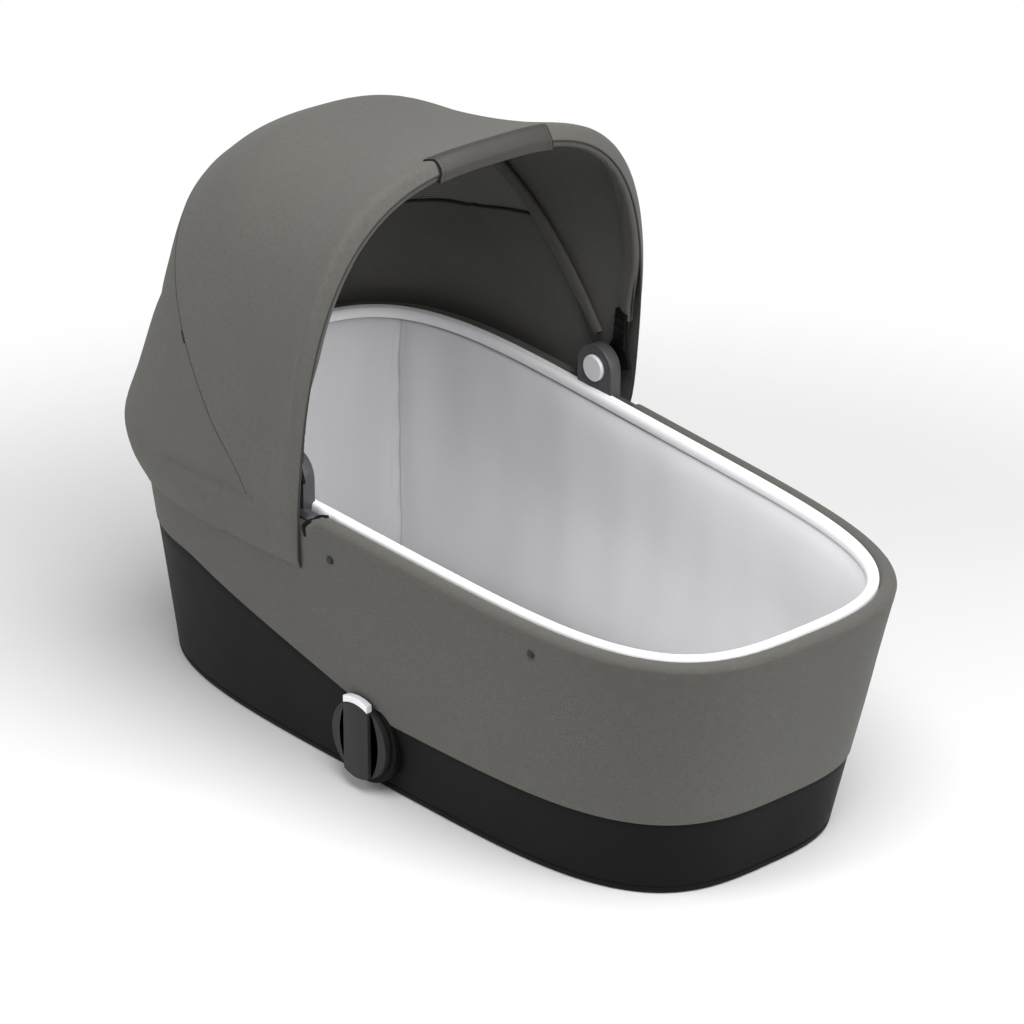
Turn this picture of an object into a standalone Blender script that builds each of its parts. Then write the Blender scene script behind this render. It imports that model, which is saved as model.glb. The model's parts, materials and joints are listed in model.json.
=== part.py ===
# Carrycot: a hard base tray, padded fabric walls round a hoop, a fabric hood on two bows and a mattress.
# Metres, +Z up, +X towards the foot end, -Y the near side. The origin is on the floor below the middle.
import bpy
import bmesh
from math import asin, atan2, cos, hypot, pi, radians, sin
from mathutils import Matrix, Vector

MM = 0.001

# Outline of the rim, seen from above
RIM_HEAD_X = -416.5 * MM
RIM_FOOT_X = 447.5 * MM
RIM_HALF_WIDTH_HEAD = 236.0 * MM
RIM_HALF_WIDTH_FOOT = 205.5 * MM
RIM_HEIGHT_HEAD = 328.5 * MM
RIM_HEIGHT_FOOT = 271.0 * MM
RIM_CURVE_POWER = 1.15
RIM_POWERS_HEAD = (4.6, 3.4)
RIM_POWERS_FOOT = (5.0, 3.0)

# Outline of the base on the floor
BASE_HEAD_X = -438.0 * MM
BASE_FOOT_X = 386.5 * MM
BASE_HALF_WIDTH_HEAD = 167.0 * MM
BASE_HALF_WIDTH_FOOT = 175.0 * MM
BASE_POWERS_HEAD = (4.1, 3.0)
BASE_POWERS_FOOT = (4.3, 3.1)

# Base tray
SHELL_WALL = 3.0 * MM
SHELL_FLOOR = 3.5 * MM
SHELL_FOOT_EDGE = 85.0 * MM
SHELL_HEAD_EDGE = 172.0 * MM
SHELL_RAMP_FOOT_X = 40.0 * MM
SHELL_RAMP_HEAD_X = -292.0 * MM
SHELL_RAMP_EASE_SHARE = 0.12
SHELL_STEP_IN = 1.2 * MM
SHELL_BOTTOM_BEVEL = 2.0 * MM

# Clearances and cuts
GAP = 0.35 * MM
OVERRUN = 2.0 * MM

# Layers of the wall and floor
SKIN = 1.5 * MM
SKIN_TUCK = 6.0 * MM
HOOP_RADIUS = 6.2 * MM
HOOP_ROOM = 0.8 * MM
BOARD_WALL = 3.0 * MM
FLOOR_BOARD = 5.0 * MM
FLOOR_BOARD_PLAY = 1.0 * MM
LINER_WALL = 2.0 * MM
LINER_PLAY = 1.0 * MM
TRIM_WIDTH = 10.0 * MM
TRIM_HEIGHT = 9.0 * MM

# Mattress
MATTRESS_HEIGHT = 42.0 * MM
MATTRESS_CROWN = 9.0 * MM
MATTRESS_PLAY = 5.0 * MM
MATTRESS_HEAD_PLAY = 19.0 * MM
MATTRESS_PULL_IN = 5.0 * MM
MATTRESS_EDGE = 12.0 * MM

# Hinge of the hood
PIVOT_X = -82.0 * MM
PIVOT_ABOVE_RIM = 24.25 * MM
BRACKET_IN = 24.2 * MM
BRACKET_THICK = 15.0 * MM
BRACKET_RADIUS = 25.5 * MM
SADDLE_HALF_LENGTH = 20.0 * MM
SADDLE_DEPTH = 2.4 * MM
BUTTON_RADIUS = 14.5 * MM
BUTTON_PROUD = 3.0 * MM
BUTTON_SUNK = 6.0 * MM
BUTTON_BEVEL = 1.2 * MM
BUTTON_BORE_DEPTH = 12.5 * MM
BUTTON_SPRING_RADIUS = 9.5 * MM
BUTTON_SPRING_TURNS = 3
SPRING_WIRE = 0.6 * MM
PIN_RADIUS = 4.0 * MM
PIN_HEAD_RADIUS = 6.5 * MM
PIN_HEAD = 1.6 * MM

# Bows
MID_EYE = 2.5 * MM
FRONT_EYE = 4.2 * MM
EYE_RADIUS = 11.5 * MM
ARM_STEP_IN = 0.2 * MM
ARM_END_STEP_IN = 0.8 * MM
BOW_INSET = 2.8 * MM
BOW_THICK = 3.4 * MM
FRONT_BOW_SHARES = (0.07, 0.93)
FRONT_BOW_START = 57.0 * MM
MID_BOW_FRONT_INSET = 5.4 * MM
MID_BOW_REAR_INSET = 3.2 * MM
MID_BOW_FRONT = -4.0 * MM
MID_BOW_REAR = 10.0 * MM
MID_BOW_START = 96.0 * MM
MID_ARM_HALF = 6.3 * MM
MID_ARM_STRAIGHT = 30.0 * MM
SOCKET_THICK = 5.0 * MM
SOCKET_START = 50.0 * MM
SOCKET_END = 92.0 * MM
SOCKET_RIB = 1.1 * MM
SOCKET_RIB_HEIGHT = 4.0 * MM
SOCKET_RIBS = 3
SOCKET_RIB_TRIM_SHARE = 0.03

# Hood fabric: the line of the front edge, the shoulder behind it, the middle bow and the rear seam
HOOD_HEM_BELOW_RIM = 71.75 * MM
HOOD_FABRIC = 1.5 * MM
EDGE_LEAN = radians(7.0)
EDGE_BASE_X = -51.5 * MM
EDGE_BASE_BELOW_RIM = 3.75 * MM
EDGE_WIDTH_OUT = 3.2 * MM
EDGE_RISE = 333.3 * MM
EDGE_POWER = 3.0
EDGE_HEM_X = -66.5 * MM
SHOULDER_BEHIND = 22.0 * MM
SHOULDER_WIDTH_OUT = 7.0 * MM
SHOULDER_RISE_ADDED = 6.6 * MM
SHOULDER_POWER = 3.385
VISOR_ROLL = 7.2 * MM
VISOR_ROLL_SHARE = 0.4
SHOULDER_HEM_X = -87.0 * MM
MID_LEAN = radians(-31.9)
MID_BASE_X = -57.5 * MM
MID_WIDTH_OUT = 1.5 * MM
MID_RISE_ADDED = 44.2 * MM
MID_POWER = 2.576
MID_HEM_X = -105.0 * MM
MID_KNEE_X = -100.0 * MM
LINE_START = 72.0 * MM
REAR_LEAN = radians(-41.8)
REAR_BASE_X = -134.9 * MM
REAR_WIDTH_OUT = 5.2 * MM
REAR_RISE_ADDED = 11.9 * MM
REAR_POWER = 2.375
REAR_HEM_X = -146.0 * MM
HEM_STAND_OFF = 3.5 * MM
KNEE_STAND_OFF = 2.2 * MM
FRONT_SAG = 6.1 * MM
MAIN_BULGE = 8.4 * MM
REAR_MIDDLE_SHARE = 0.5
REAR_BULGE_OUT = 14.8 * MM
REAR_BULGE_BELOW_RIM = 30.5 * MM
REAR_UNDER_OUT = 14.1 * MM
REAR_UNDER_BELOW_RIM = 65.5 * MM
SEAM_GAP = 0.9 * MM
SWELL_SHARE = 0.62
REAR_ROW_PITCH = 7.0 * MM
REAR_HEM_OUT = 7.5 * MM

# Mesh window and grip
MESH_SHEET = 0.8 * MM
MESH_ROWS = 5
MESH_START_SHARE = 0.6
MESH_SKIP = 8
GRIP_HALF_LENGTH = 78.0 * MM
GRIP_END_DIP = 5.0 * MM
GRIP_SHEET = 1.8 * MM
GRIP_TOP_SHARE = 0.86
GRIP_INSIDE_SHARE = 0.5
GRIP_ROOM = 1.0 * MM
GRIP_STEPS = 12

# Adapters on both sides
ADAPTER_X = -2.0 * MM
ADAPTER_Z = 57.3 * MM
ADAPTER_RADIUS = 41.5 * MM
ADAPTER_OUT = 6.4 * MM
ADAPTER_DISC = 7.0 * MM
ADAPTER_BAR = 11.0 * MM
ADAPTER_BAR_HALF = 18.75 * MM
ADAPTER_GROOVE_DEPTH = 4.0 * MM
ADAPTER_GROOVE_RADIUS = 66.0 * MM
ADAPTER_GROOVE_REACH = 29.4 * MM
BOSS_RADIUS = 48.2 * MM
BOSS_DEPTH = 20.0 * MM
TAB_INNER = 4.6 * MM
TAB_THICK = 6.8 * MM
TAB_SIDE_IN = 0.4 * MM
TAB_HEIGHT = 7.0 * MM
TAB_STEM_HALF = 7.5 * MM
TAB_STEM_INNER = 4.0 * MM
TAB_STEM = 3.4 * MM
TAB_STEM_LENGTH = 36.0 * MM
TAB_POCKET_LENGTH = 66.0 * MM
TAB_SPRING_RADIUS = 1.4 * MM
TAB_SPRING_TURNS = 6
TAB_SPRING_WIRE = 0.35 * MM
SCREW_X = 33.5 * MM
SCREW_RADIUS = 2.0 * MM
SCREW_HEAD_RADIUS = 4.2 * MM
SCREW_HEAD = 2.0 * MM
SCREW_GRIP = 5.2 * MM
SCREW_SEAT_DEPTH = 5.8 * MM

# Press studs for the apron
STUD_RADIUS = 4.5 * MM
STUD_HEIGHT = 2.2 * MM
STUD_TOP_SHARE = 0.75
STUD_PLACES = {"head": (-16.5 * MM, 41.1 * MM), "foot": (263.5 * MM, 28.7 * MM)}

# Counts of segments
QUARTER_STEPS = 14
FINE_STEPS = 240
TURN_WEIGHT = 160.0 * MM
ARCH_STEPS = 28
SHORT_STEPS = 3
ROUND_SEGMENTS = 36
SMALL_SEGMENTS = 16
COIL_STEPS = 10

NODES = bpy.data.collections.new("carrycot")
CUTTERS = bpy.data.collections.new("cutters")


def material(name, colour, roughness, metallic=0.0):
    """A Principled material with the part's colour, given as display values from 0 to 255."""
    made = bpy.data.materials.new(name)
    made.use_nodes = True
    shader = made.node_tree.nodes["Principled BSDF"]
    linear = [(value / 255.0) ** 2.2 for value in colour]
    shader.inputs["Base Color"].default_value = (*linear, 1.0)
    shader.inputs["Roughness"].default_value = roughness
    shader.inputs["Metallic"].default_value = metallic
    return made


def add_object(name, mesh, finish, collection=None):
    """Link a mesh as a named object."""
    made = bpy.data.objects.new(name, mesh)
    (collection or NODES).objects.link(made)
    if finish:
        mesh.materials.clear()
        mesh.materials.append(finish)
    return made


def finish_mesh(name, bm, outwards=True):
    """Turn a bmesh into a mesh with its faces pointing out."""
    if outwards:
        bmesh.ops.recalc_face_normals(bm, faces=bm.faces)
    mesh = bpy.data.meshes.new(name)
    bm.to_mesh(mesh)
    bm.free()
    return mesh


def smooth(made, angle=35.0):
    made.data.shade_smooth()
    made.data.set_sharp_from_angle(angle=radians(angle))
    return made


def loft(name, rows, finish, closed_rows=True, joined_ends=False, caps=None, collection=None, split=False):
    """Join rows of points with faces.

    Each row can be a closed ring, and the last row can join the first. Caps close the first and last row:
    "fan" with one face, "strips" with faces from side to side of a ring that is symmetric about Y,
    "ends" closes the two ends of rows that run along a piece. Split cuts each face the same way, so that
    layers that follow each other stay parallel.
    """
    bm = bmesh.new()
    grid = [[bm.verts.new(point) for point in row] for row in rows]
    count = len(rows[0])
    pairs = list(zip(grid[:-1], grid[1:]))
    if joined_ends:
        pairs.append((grid[-1], grid[0]))
    for low, high in pairs:
        for i in range(count if closed_rows else count - 1):
            j = (i + 1) % count
            if split:
                bm.faces.new((low[i], low[j], high[j]))
                bm.faces.new((low[i], high[j], high[i]))
            else:
                bm.faces.new((low[i], low[j], high[j], high[i]))
    if caps == "fan":
        bm.faces.new(grid[0])
        bm.faces.new(grid[-1])
    if caps == "ends":
        bm.faces.new([row[0] for row in grid])
        bm.faces.new([row[-1] for row in grid])
    if caps == "strips":
        for end in (grid[0], grid[-1]):
            bm.faces.new((end[0], end[1], end[-1]))
            for i in range(1, count // 2 - 1):
                bm.faces.new((end[i], end[i + 1], end[-(i + 1)], end[-i]))
            bm.faces.new((end[count // 2 - 1], end[count // 2], end[count // 2 + 1]))
    solid = joined_ends or caps
    mesh = finish_mesh(name, bm, outwards=bool(solid))
    return smooth(add_object(name, mesh, finish, collection))


def box(name, low, high, finish=None, collection=None, bevel=None):
    """A box between two corners."""
    bm = bmesh.new()
    bmesh.ops.create_cube(bm, size=1.0)
    low, high = Vector(low), Vector(high)
    for vert in bm.verts:
        vert.co = Vector([(low[k] + high[k]) / 2 + vert.co[k] * (high[k] - low[k]) for k in range(3)])
    made = add_object(name, finish_mesh(name, bm), finish, collection)
    if bevel:
        round_edges(made, bevel)
    return made


def drum(name, centre, radius, start, end, finish=None, segments=ROUND_SEGMENTS, collection=None, axis="Y"):
    """A cylinder along an axis, from start to end on that axis."""
    bm = bmesh.new()
    bmesh.ops.create_cone(bm, cap_ends=True, segments=segments, radius1=radius, radius2=radius,
                          depth=abs(end - start))
    turn = Matrix.Rotation(-pi / 2, 4, "X") if axis == "Y" else Matrix.Identity(4)
    middle = Vector(centre)
    middle["XYZ".index(axis)] = (start + end) / 2
    bmesh.ops.transform(bm, matrix=Matrix.Translation(middle) @ turn, verts=bm.verts)
    return smooth(add_object(name, finish_mesh(name, bm), finish, collection))


def prism(name, outline, y_start, y_end, finish=None, collection=None):
    """An outline in the XZ plane, extruded along Y."""
    rows = [[Vector((x, y, z)) for x, z in outline] for y in (y_start, y_end)]
    return loft(name, rows, finish, caps="fan", collection=collection)


def round_edges(made, width, segments=1, angle=40.0):
    bevel = made.modifiers.new("round", "BEVEL")
    bevel.width = width
    bevel.segments = segments
    bevel.limit_method = "ANGLE"
    bevel.angle_limit = radians(angle)
    return made


def combine(made, other, operation):
    """Cut, join or intersect with a hidden helper."""
    step = made.modifiers.new(operation.lower() + "_" + other.name, "BOOLEAN")
    step.operation = operation
    step.object = other
    step.solver = "EXACT"
    other.hide_render = True
    other.display_type = "WIRE"
    return made


def turned(name, profile, centre, finish, side, segments=24):
    """A turned piece about an axis along Y: profile gives radius and distance outwards from centre."""
    bm = bmesh.new()
    verts = [bm.verts.new((radius, 0.0, -along)) for radius, along in profile]
    for a, b in zip(verts[:-1], verts[1:]):
        bm.edges.new((a, b))
    mesh = bpy.data.meshes.new(name)
    bm.to_mesh(mesh)
    bm.free()
    made = add_object(name, mesh, finish)
    screw = made.modifiers.new("turn", "SCREW")
    screw.steps = segments
    screw.render_steps = segments
    screw.merge_threshold = 0.0001
    screw.use_merge_vertices = True
    made.rotation_euler = (side * pi / 2, 0.0, 0.0)
    made.location = centre
    return made


def tube(name, points, radius, finish, cyclic=False, resolution=2):
    """A round tube along points."""
    curve = bpy.data.curves.new(name, "CURVE")
    curve.dimensions = "3D"
    curve.bevel_depth = radius
    curve.bevel_resolution = resolution
    curve.use_fill_caps = not cyclic
    spline = curve.splines.new("POLY")
    spline.points.add(len(points) - 1)
    for slot, point in zip(spline.points, points):
        slot.co = (*point, 1.0)
    spline.use_cyclic_u = cyclic
    curve.materials.append(finish)
    made = bpy.data.objects.new(name, curve)
    NODES.objects.link(made)
    return made


def between(a, b, share):
    return a + (b - a) * share


def quarter(length, width, powers):
    """A quarter of a rounded outline, closer points where it turns more, as shares of length and width."""
    fine = []
    for step in range(FINE_STEPS + 1):
        angle = pi / 2 * step / FINE_STEPS
        fine.append((max(cos(angle), 0.0) ** (2 / powers[0]), sin(angle) ** (2 / powers[1])))
    measure = [0.0]
    heading = None
    for (x0, y0), (x1, y1) in zip(fine[:-1], fine[1:]):
        dx, dy = (x1 - x0) * length, (y1 - y0) * width
        turn = 0.0 if heading is None else abs(atan2(dy, dx) - heading)
        heading = atan2(dy, dx)
        measure.append(measure[-1] + hypot(dx, dy) + turn * TURN_WEIGHT)
    return spaced(fine, measure, QUARTER_STEPS)


def spaced(points, measure, steps):
    """Pick steps + 1 points at even spaces of a running measure."""
    picked = []
    k = 0
    for step in range(steps + 1):
        target = measure[-1] * step / steps
        while k < len(measure) - 2 and measure[k + 1] < target:
            k += 1
        part = (target - measure[k]) / max(measure[k + 1] - measure[k], 1e-12)
        picked.append(tuple(between(a, b, part) for a, b in zip(points[k], points[k + 1])))
    return picked


def outline(head_x, foot_x, half_head, half_foot, powers_head, powers_foot):
    """A closed outline from the foot end over the far side to the head end and back."""
    def half_width(x):
        return between(half_head, half_foot, (x - head_x) / (foot_x - head_x))
    foot = quarter(foot_x, half_width(0.0), powers_foot)
    head = quarter(-head_x, half_width(0.0), powers_head)
    far = [(foot_x * u, v) for u, v in foot] + [(head_x * u, v) for u, v in reversed(head[:-1])]
    far = [Vector((x, half_width(x) * v, 0.0)) for x, v in far]
    near = [Vector((p.x, -p.y, 0.0)) for p in reversed(far[1:-1])]
    return far + near


def rim_height(x):
    share = (RIM_FOOT_X - x) / (RIM_FOOT_X - RIM_HEAD_X)
    return between(RIM_HEIGHT_FOOT, RIM_HEIGHT_HEAD, max(share, 0.0) ** RIM_CURVE_POWER)


def shell_edge(x):
    """Height of the tray's top edge: low at the foot, a ramp up to the head."""
    share = (x - SHELL_RAMP_FOOT_X) / (SHELL_RAMP_HEAD_X - SHELL_RAMP_FOOT_X)
    ease = SHELL_RAMP_EASE_SHARE
    share = min(max(share, 0.0), 1.0)
    if share < ease:
        rise = share ** 2 / (2 * ease)
    elif share > 1 - ease:
        rise = 1 - ease - (1 - share) ** 2 / (2 * ease)
    else:
        rise = share - ease / 2
    return between(SHELL_FOOT_EDGE, SHELL_HEAD_EDGE, rise / (1 - ease))


BASE_LINE = outline(BASE_HEAD_X, BASE_FOOT_X, BASE_HALF_WIDTH_HEAD, BASE_HALF_WIDTH_FOOT,
                    BASE_POWERS_HEAD, BASE_POWERS_FOOT)
RIM_LINE = outline(RIM_HEAD_X, RIM_FOOT_X, RIM_HALF_WIDTH_HEAD, RIM_HALF_WIDTH_FOOT,
                   RIM_POWERS_HEAD, RIM_POWERS_FOOT)
RIM_Z = [rim_height(point.x) for point in RIM_LINE]
SHELL_EDGE = [shell_edge(between(low.x, high.x, SHELL_HEAD_EDGE / RIM_HEIGHT_HEAD))
              for low, high in zip(BASE_LINE, RIM_LINE)]
ROLL_RADIUS = HOOP_RADIUS + HOOP_ROOM + SKIN


def inward_directions():
    """One level direction for each station, square to the wall, used by every layer of the wall."""
    count = len(RIM_LINE)
    made = []
    for i in range(count):
        total = Vector((0.0, 0.0, 0.0))
        for line in (BASE_LINE, RIM_LINE):
            along = line[(i + 1) % count] - line[i - 1]
            total += Vector((-along.y, along.x, 0.0)).normalized()
        made.append(total.normalized())
    return made


INWARD = inward_directions()


def level(z):
    return [z] * len(RIM_Z)


def below_rim(depth):
    return [z - depth for z in RIM_Z]


def ring(heights, inset=0.0):
    """A ring on the wall's surface at one height for each station, moved inwards square to the ring."""
    points = []
    for low, high, top, z in zip(BASE_LINE, RIM_LINE, RIM_Z, heights):
        point = between(low, high, z / top)
        points.append(Vector((point.x, point.y, z)))
    return moved_in(points, inset)


def moved_in(points, inset, raise_by=0.0):
    lift = Vector((0.0, 0.0, raise_by))
    return [point + inward * inset + lift for point, inward in zip(points, INWARD)]


def wall_y(x, z):
    """Half-width of the wall's surface at a place along it."""
    points = ring(level(z))
    far = points[:len(points) // 2 + 1]
    for a, b in zip(far[:-1], far[1:]):
        if b.x <= x <= a.x:
            return between(a.y, b.y, (x - a.x) / (b.x - a.x))
    return far[0].y


HINGE_SHARE = (PIVOT_X - RIM_HEAD_X) / (RIM_FOOT_X - RIM_HEAD_X)
HINGE_HALF_WIDTH = between(RIM_HALF_WIDTH_HEAD, RIM_HALF_WIDTH_FOOT, HINGE_SHARE)
HINGE_RIM_Z = rim_height(PIVOT_X)
PIVOT_Z = HINGE_RIM_Z + PIVOT_ABOVE_RIM
BRACKET_INNER_Y = HINGE_HALF_WIDTH - BRACKET_IN
HOOD_HEM_Z = HINGE_RIM_Z - HOOD_HEM_BELOW_RIM
EDGE_BASE_Z = HINGE_RIM_Z - EDGE_BASE_BELOW_RIM
EDGE_HALF_WIDTH = HINGE_HALF_WIDTH + EDGE_WIDTH_OUT
SHOULDER_HALF_WIDTH = HINGE_HALF_WIDTH + SHOULDER_WIDTH_OUT
MID_HALF_WIDTH = HINGE_HALF_WIDTH + MID_WIDTH_OUT
REAR_HALF_WIDTH = HINGE_HALF_WIDTH + REAR_WIDTH_OUT
SHOULDER_RISE = EDGE_RISE + SHOULDER_RISE_ADDED
MID_RISE = EDGE_RISE + MID_RISE_ADDED
REAR_RISE = EDGE_RISE + REAR_RISE_ADDED
REAR_BULGE_Z = RIM_HEIGHT_HEAD - REAR_BULGE_BELOW_RIM
REAR_UNDER_Z = RIM_HEIGHT_HEAD - REAR_UNDER_BELOW_RIM
ADAPTER_BACK_Y = wall_y(ADAPTER_X, ADAPTER_Z) + ADAPTER_OUT

FABRIC = material("grey_fabric", (102, 101, 97), 0.9)
FABRIC_DARK = material("dark_fabric", (58, 57, 54), 0.9)
BLACK_PLASTIC = material("black_plastic", (40, 40, 40), 0.5)
GREY_PLASTIC = material("grey_plastic", (75, 75, 76), 0.45)
WHITE_FABRIC = material("white_fabric", (240, 240, 242), 0.85)
WHITE_PLASTIC = material("white_plastic", (226, 226, 228), 0.4)
DARK_PLASTIC = material("dark_plastic", (56, 56, 56), 0.5)
PALE_LINING = material("pale_lining", (200, 200, 203), 0.85)
LEATHERETTE = material("leatherette", (98, 94, 91), 0.55)
SILVER = material("silver_plastic", (171, 171, 172), 0.35, 0.4)
STEEL = material("steel", (150, 150, 152), 0.3, 1.0)
BOARD = material("board", (180, 178, 172), 0.8)
PADDING = material("mattress_cover", (225, 225, 227), 0.9)
NET = material("net", (63, 62, 60), 0.8)


def build_base_shell():
    """Tray with a ramped top edge, and a boss for each adapter."""
    inner = SHELL_STEP_IN + SHELL_WALL
    outside = [ring(level(0.0), SHELL_STEP_IN + SHELL_BOTTOM_BEVEL),
               ring(level(SHELL_BOTTOM_BEVEL), SHELL_STEP_IN),
               ring(SHELL_EDGE, SHELL_STEP_IN)]
    shell = loft("base_shell", outside, BLACK_PLASTIC, caps="strips", split=True)
    boss_top = ADAPTER_Z + BOSS_RADIUS
    inside = [ring(level(SHELL_FLOOR), inner), ring(SHELL_EDGE, inner),
              ring([max(z, boss_top) + OVERRUN for z in SHELL_EDGE], inner)]
    cavity = loft("shell_cavity", inside, None, caps="strips", collection=CUTTERS, split=True)
    for side in (-1, 1):
        boss = drum("boss_" + side_name(side), (ADAPTER_X, 0.0, ADAPTER_Z), BOSS_RADIUS,
                    side * (ADAPTER_BACK_Y - BOSS_DEPTH), side * ADAPTER_BACK_Y, collection=CUTTERS)
        combine(shell, boss, "UNION")
    combine(shell, cavity, "DIFFERENCE")
    for side in (-1, 1):
        for name, x in screw_places():
            seat_y = ADAPTER_BACK_Y - SCREW_SEAT_DEPTH
            seat = drum("screw_seat_%s_%s" % (side_name(side), name), (x, 0.0, ADAPTER_Z),
                        SCREW_HEAD_RADIUS + GAP, side * (seat_y - BOSS_DEPTH), side * seat_y,
                        segments=SMALL_SEGMENTS, collection=CUTTERS)
            bore = drum("screw_bore_%s_%s" % (side_name(side), name), (x, 0.0, ADAPTER_Z),
                        SCREW_RADIUS + GAP, side * (seat_y - OVERRUN), side * (ADAPTER_BACK_Y + OVERRUN),
                        segments=SMALL_SEGMENTS, collection=CUTTERS)
            combine(shell, seat, "DIFFERENCE")
            combine(shell, bore, "DIFFERENCE")


def side_name(side):
    return "near" if side < 0 else "far"


def screw_places():
    return (("head", ADAPTER_X - SCREW_X), ("foot", ADAPTER_X + SCREW_X))


def build_wall_layers():
    """Board, hoop, outer skin with its roll over the hoop, white rim band, liner and floor board."""
    board_in = SHELL_STEP_IN + SHELL_WALL + GAP
    board_bottom = SHELL_FLOOR + GAP
    hoop_line = ring(below_rim(ROLL_RADIUS), ROLL_RADIUS)
    board_top = below_rim(ROLL_RADIUS + HOOP_RADIUS + GAP)
    loft("wall_board",
         [ring(level(board_bottom), board_in), ring(SHELL_EDGE, board_in), ring(board_top, board_in),
          ring(board_top, board_in + BOARD_WALL), ring(SHELL_EDGE, board_in + BOARD_WALL),
          ring(level(board_bottom), board_in + BOARD_WALL)],
         BOARD, joined_ends=True, split=True)
    tube("rim_hoop", hoop_line, HOOP_RADIUS, GREY_PLASTIC, cyclic=True)

    skin_bottom = [z + GAP for z in SHELL_EDGE]
    outer = [ring(skin_bottom)]
    inner = [ring(skin_bottom, SKIN)]
    for step in range(5):
        angle = pi * step / 4
        outer.append(moved_in(hoop_line, -ROLL_RADIUS * cos(angle), ROLL_RADIUS * sin(angle)))
        lining = ROLL_RADIUS - SKIN
        inner.append(moved_in(hoop_line, -lining * cos(angle), lining * sin(angle)))
    outer.append(moved_in(hoop_line, ROLL_RADIUS, -SKIN_TUCK))
    inner.append(moved_in(hoop_line, ROLL_RADIUS - SKIN, -SKIN_TUCK))
    skin = loft("side_fabric", outer + inner[::-1], FABRIC, joined_ends=True, split=True)
    for side in (-1, 1):
        hole = drum("skin_hole_" + side_name(side), (ADAPTER_X, 0.0, ADAPTER_Z), BOSS_RADIUS + GAP,
                    side * (ADAPTER_BACK_Y - BOSS_DEPTH), side * (ADAPTER_BACK_Y + BOSS_DEPTH),
                    collection=CUTTERS)
        combine(skin, hole, "DIFFERENCE")
        slot_y = sided(side, saddle_inner() - GAP, saddle_outer() + GAP)
        slot_half = SADDLE_HALF_LENGTH + GAP
        slot = box("skin_slot_" + side_name(side),
                   (PIVOT_X - slot_half, slot_y[0], rim_height(PIVOT_X) - ROLL_RADIUS),
                   (PIVOT_X + slot_half, slot_y[1], rim_height(PIVOT_X) + ROLL_RADIUS), collection=CUTTERS)
        combine(skin, slot, "DIFFERENCE")

    trim_shares = [(-0.5, -0.45), (-0.5, 0.25), (-0.28, 0.5), (0.2, 0.42), (0.5, 0.0), (0.5, -0.5)]
    trim_in = ROLL_RADIUS + GAP + TRIM_WIDTH / 2
    trim_up = ROLL_RADIUS - TRIM_HEIGHT / 2 - SKIN
    rows = [moved_in(hoop_line, trim_in + across * TRIM_WIDTH, trim_up + up * TRIM_HEIGHT)
            for across, up in trim_shares]
    loft("rim_band", rows, WHITE_FABRIC, joined_ends=True, split=True)

    liner_top = [z - ROLL_RADIUS + trim_up - TRIM_HEIGHT / 2 - GAP for z in RIM_Z]
    liner_bottom = level(floor_top() + GAP)
    top_in = 2 * ROLL_RADIUS + TRIM_WIDTH / 2
    bottom_in = liner_bottom_in()
    loft("liner",
         [ring(liner_bottom, bottom_in), ring(liner_top, top_in),
          ring(liner_top, top_in + LINER_WALL), ring(liner_bottom, bottom_in + LINER_WALL)],
         PALE_LINING, joined_ends=True, split=True)
    floor_in = board_in + BOARD_WALL + FLOOR_BOARD_PLAY
    low = ring(level(SHELL_FLOOR + GAP), floor_in)
    loft("floor_board", [low, [Vector((p.x, p.y, floor_top())) for p in low]], BOARD, caps="strips")


def floor_top():
    return SHELL_FLOOR + GAP + FLOOR_BOARD


def liner_bottom_in():
    return SHELL_STEP_IN + SHELL_WALL + GAP + BOARD_WALL + FLOOR_BOARD_PLAY + LINER_PLAY


def saddle_inner():
    return wall_y(PIVOT_X, rim_height(PIVOT_X)) - ROLL_RADIUS - HOOP_RADIUS


def saddle_outer():
    return BRACKET_INNER_Y + BRACKET_THICK


def sided(side, inner, outer):
    """The Y range of a piece that lies from inner to outer on one side, low value first."""
    return (inner, outer) if side > 0 else (-outer, -inner)


def build_mattress():
    """Crowned pad whose long sides draw in, lying on the floor board."""
    bottom = floor_top() + GAP
    top = bottom + MATTRESS_HEIGHT
    side_in = liner_bottom_in() + LINER_WALL + MATTRESS_PLAY
    edge_steps = [(1.0, 0.0), (0.3, 0.3), (0.0, 1.0)]
    base = ring(level(bottom), side_in)
    rows = []

    def outline_at(inset, z):
        flat = [Vector((p.x, p.y, z)) for p in moved_in(base, inset)]
        drawn = []
        for point in flat:
            reach = max(cos(pi * point.x / (BASE_FOOT_X - BASE_HEAD_X)), 0.0)
            pull = MATTRESS_PULL_IN * reach / BASE_HALF_WIDTH_FOOT
            back = max(point.x / BASE_HEAD_X, 0.0) * (MATTRESS_HEAD_PLAY - MATTRESS_PLAY)
            drawn.append(Vector((point.x + back, point.y * (1 - pull), z)))
        return drawn
    for inward, up in edge_steps:
        rows.append(outline_at(MATTRESS_EDGE / 2 * inward, bottom + MATTRESS_EDGE / 2 * up))
    for inward, up in reversed(edge_steps):
        rows.append(outline_at(MATTRESS_EDGE * inward, top - MATTRESS_EDGE * up))
    rim = rows[-1]
    for share in (0.75, 0.45, 0.15):
        lift = MATTRESS_CROWN * (1 - share ** 2)
        rows.append([Vector((p.x * share, p.y * share, top + lift)) for p in rim])
    loft("mattress", rows, PADDING, caps="strips")


def eye_faces():
    """Distances from the middle of the part to the layers on the hinge pin, from inside to outside."""
    outer = BRACKET_INNER_Y + BRACKET_THICK
    mid = outer + GAP
    front = mid + MID_EYE + GAP
    return {"bracket": outer, "mid": mid, "front": front, "end": front + FRONT_EYE + GAP}


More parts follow.
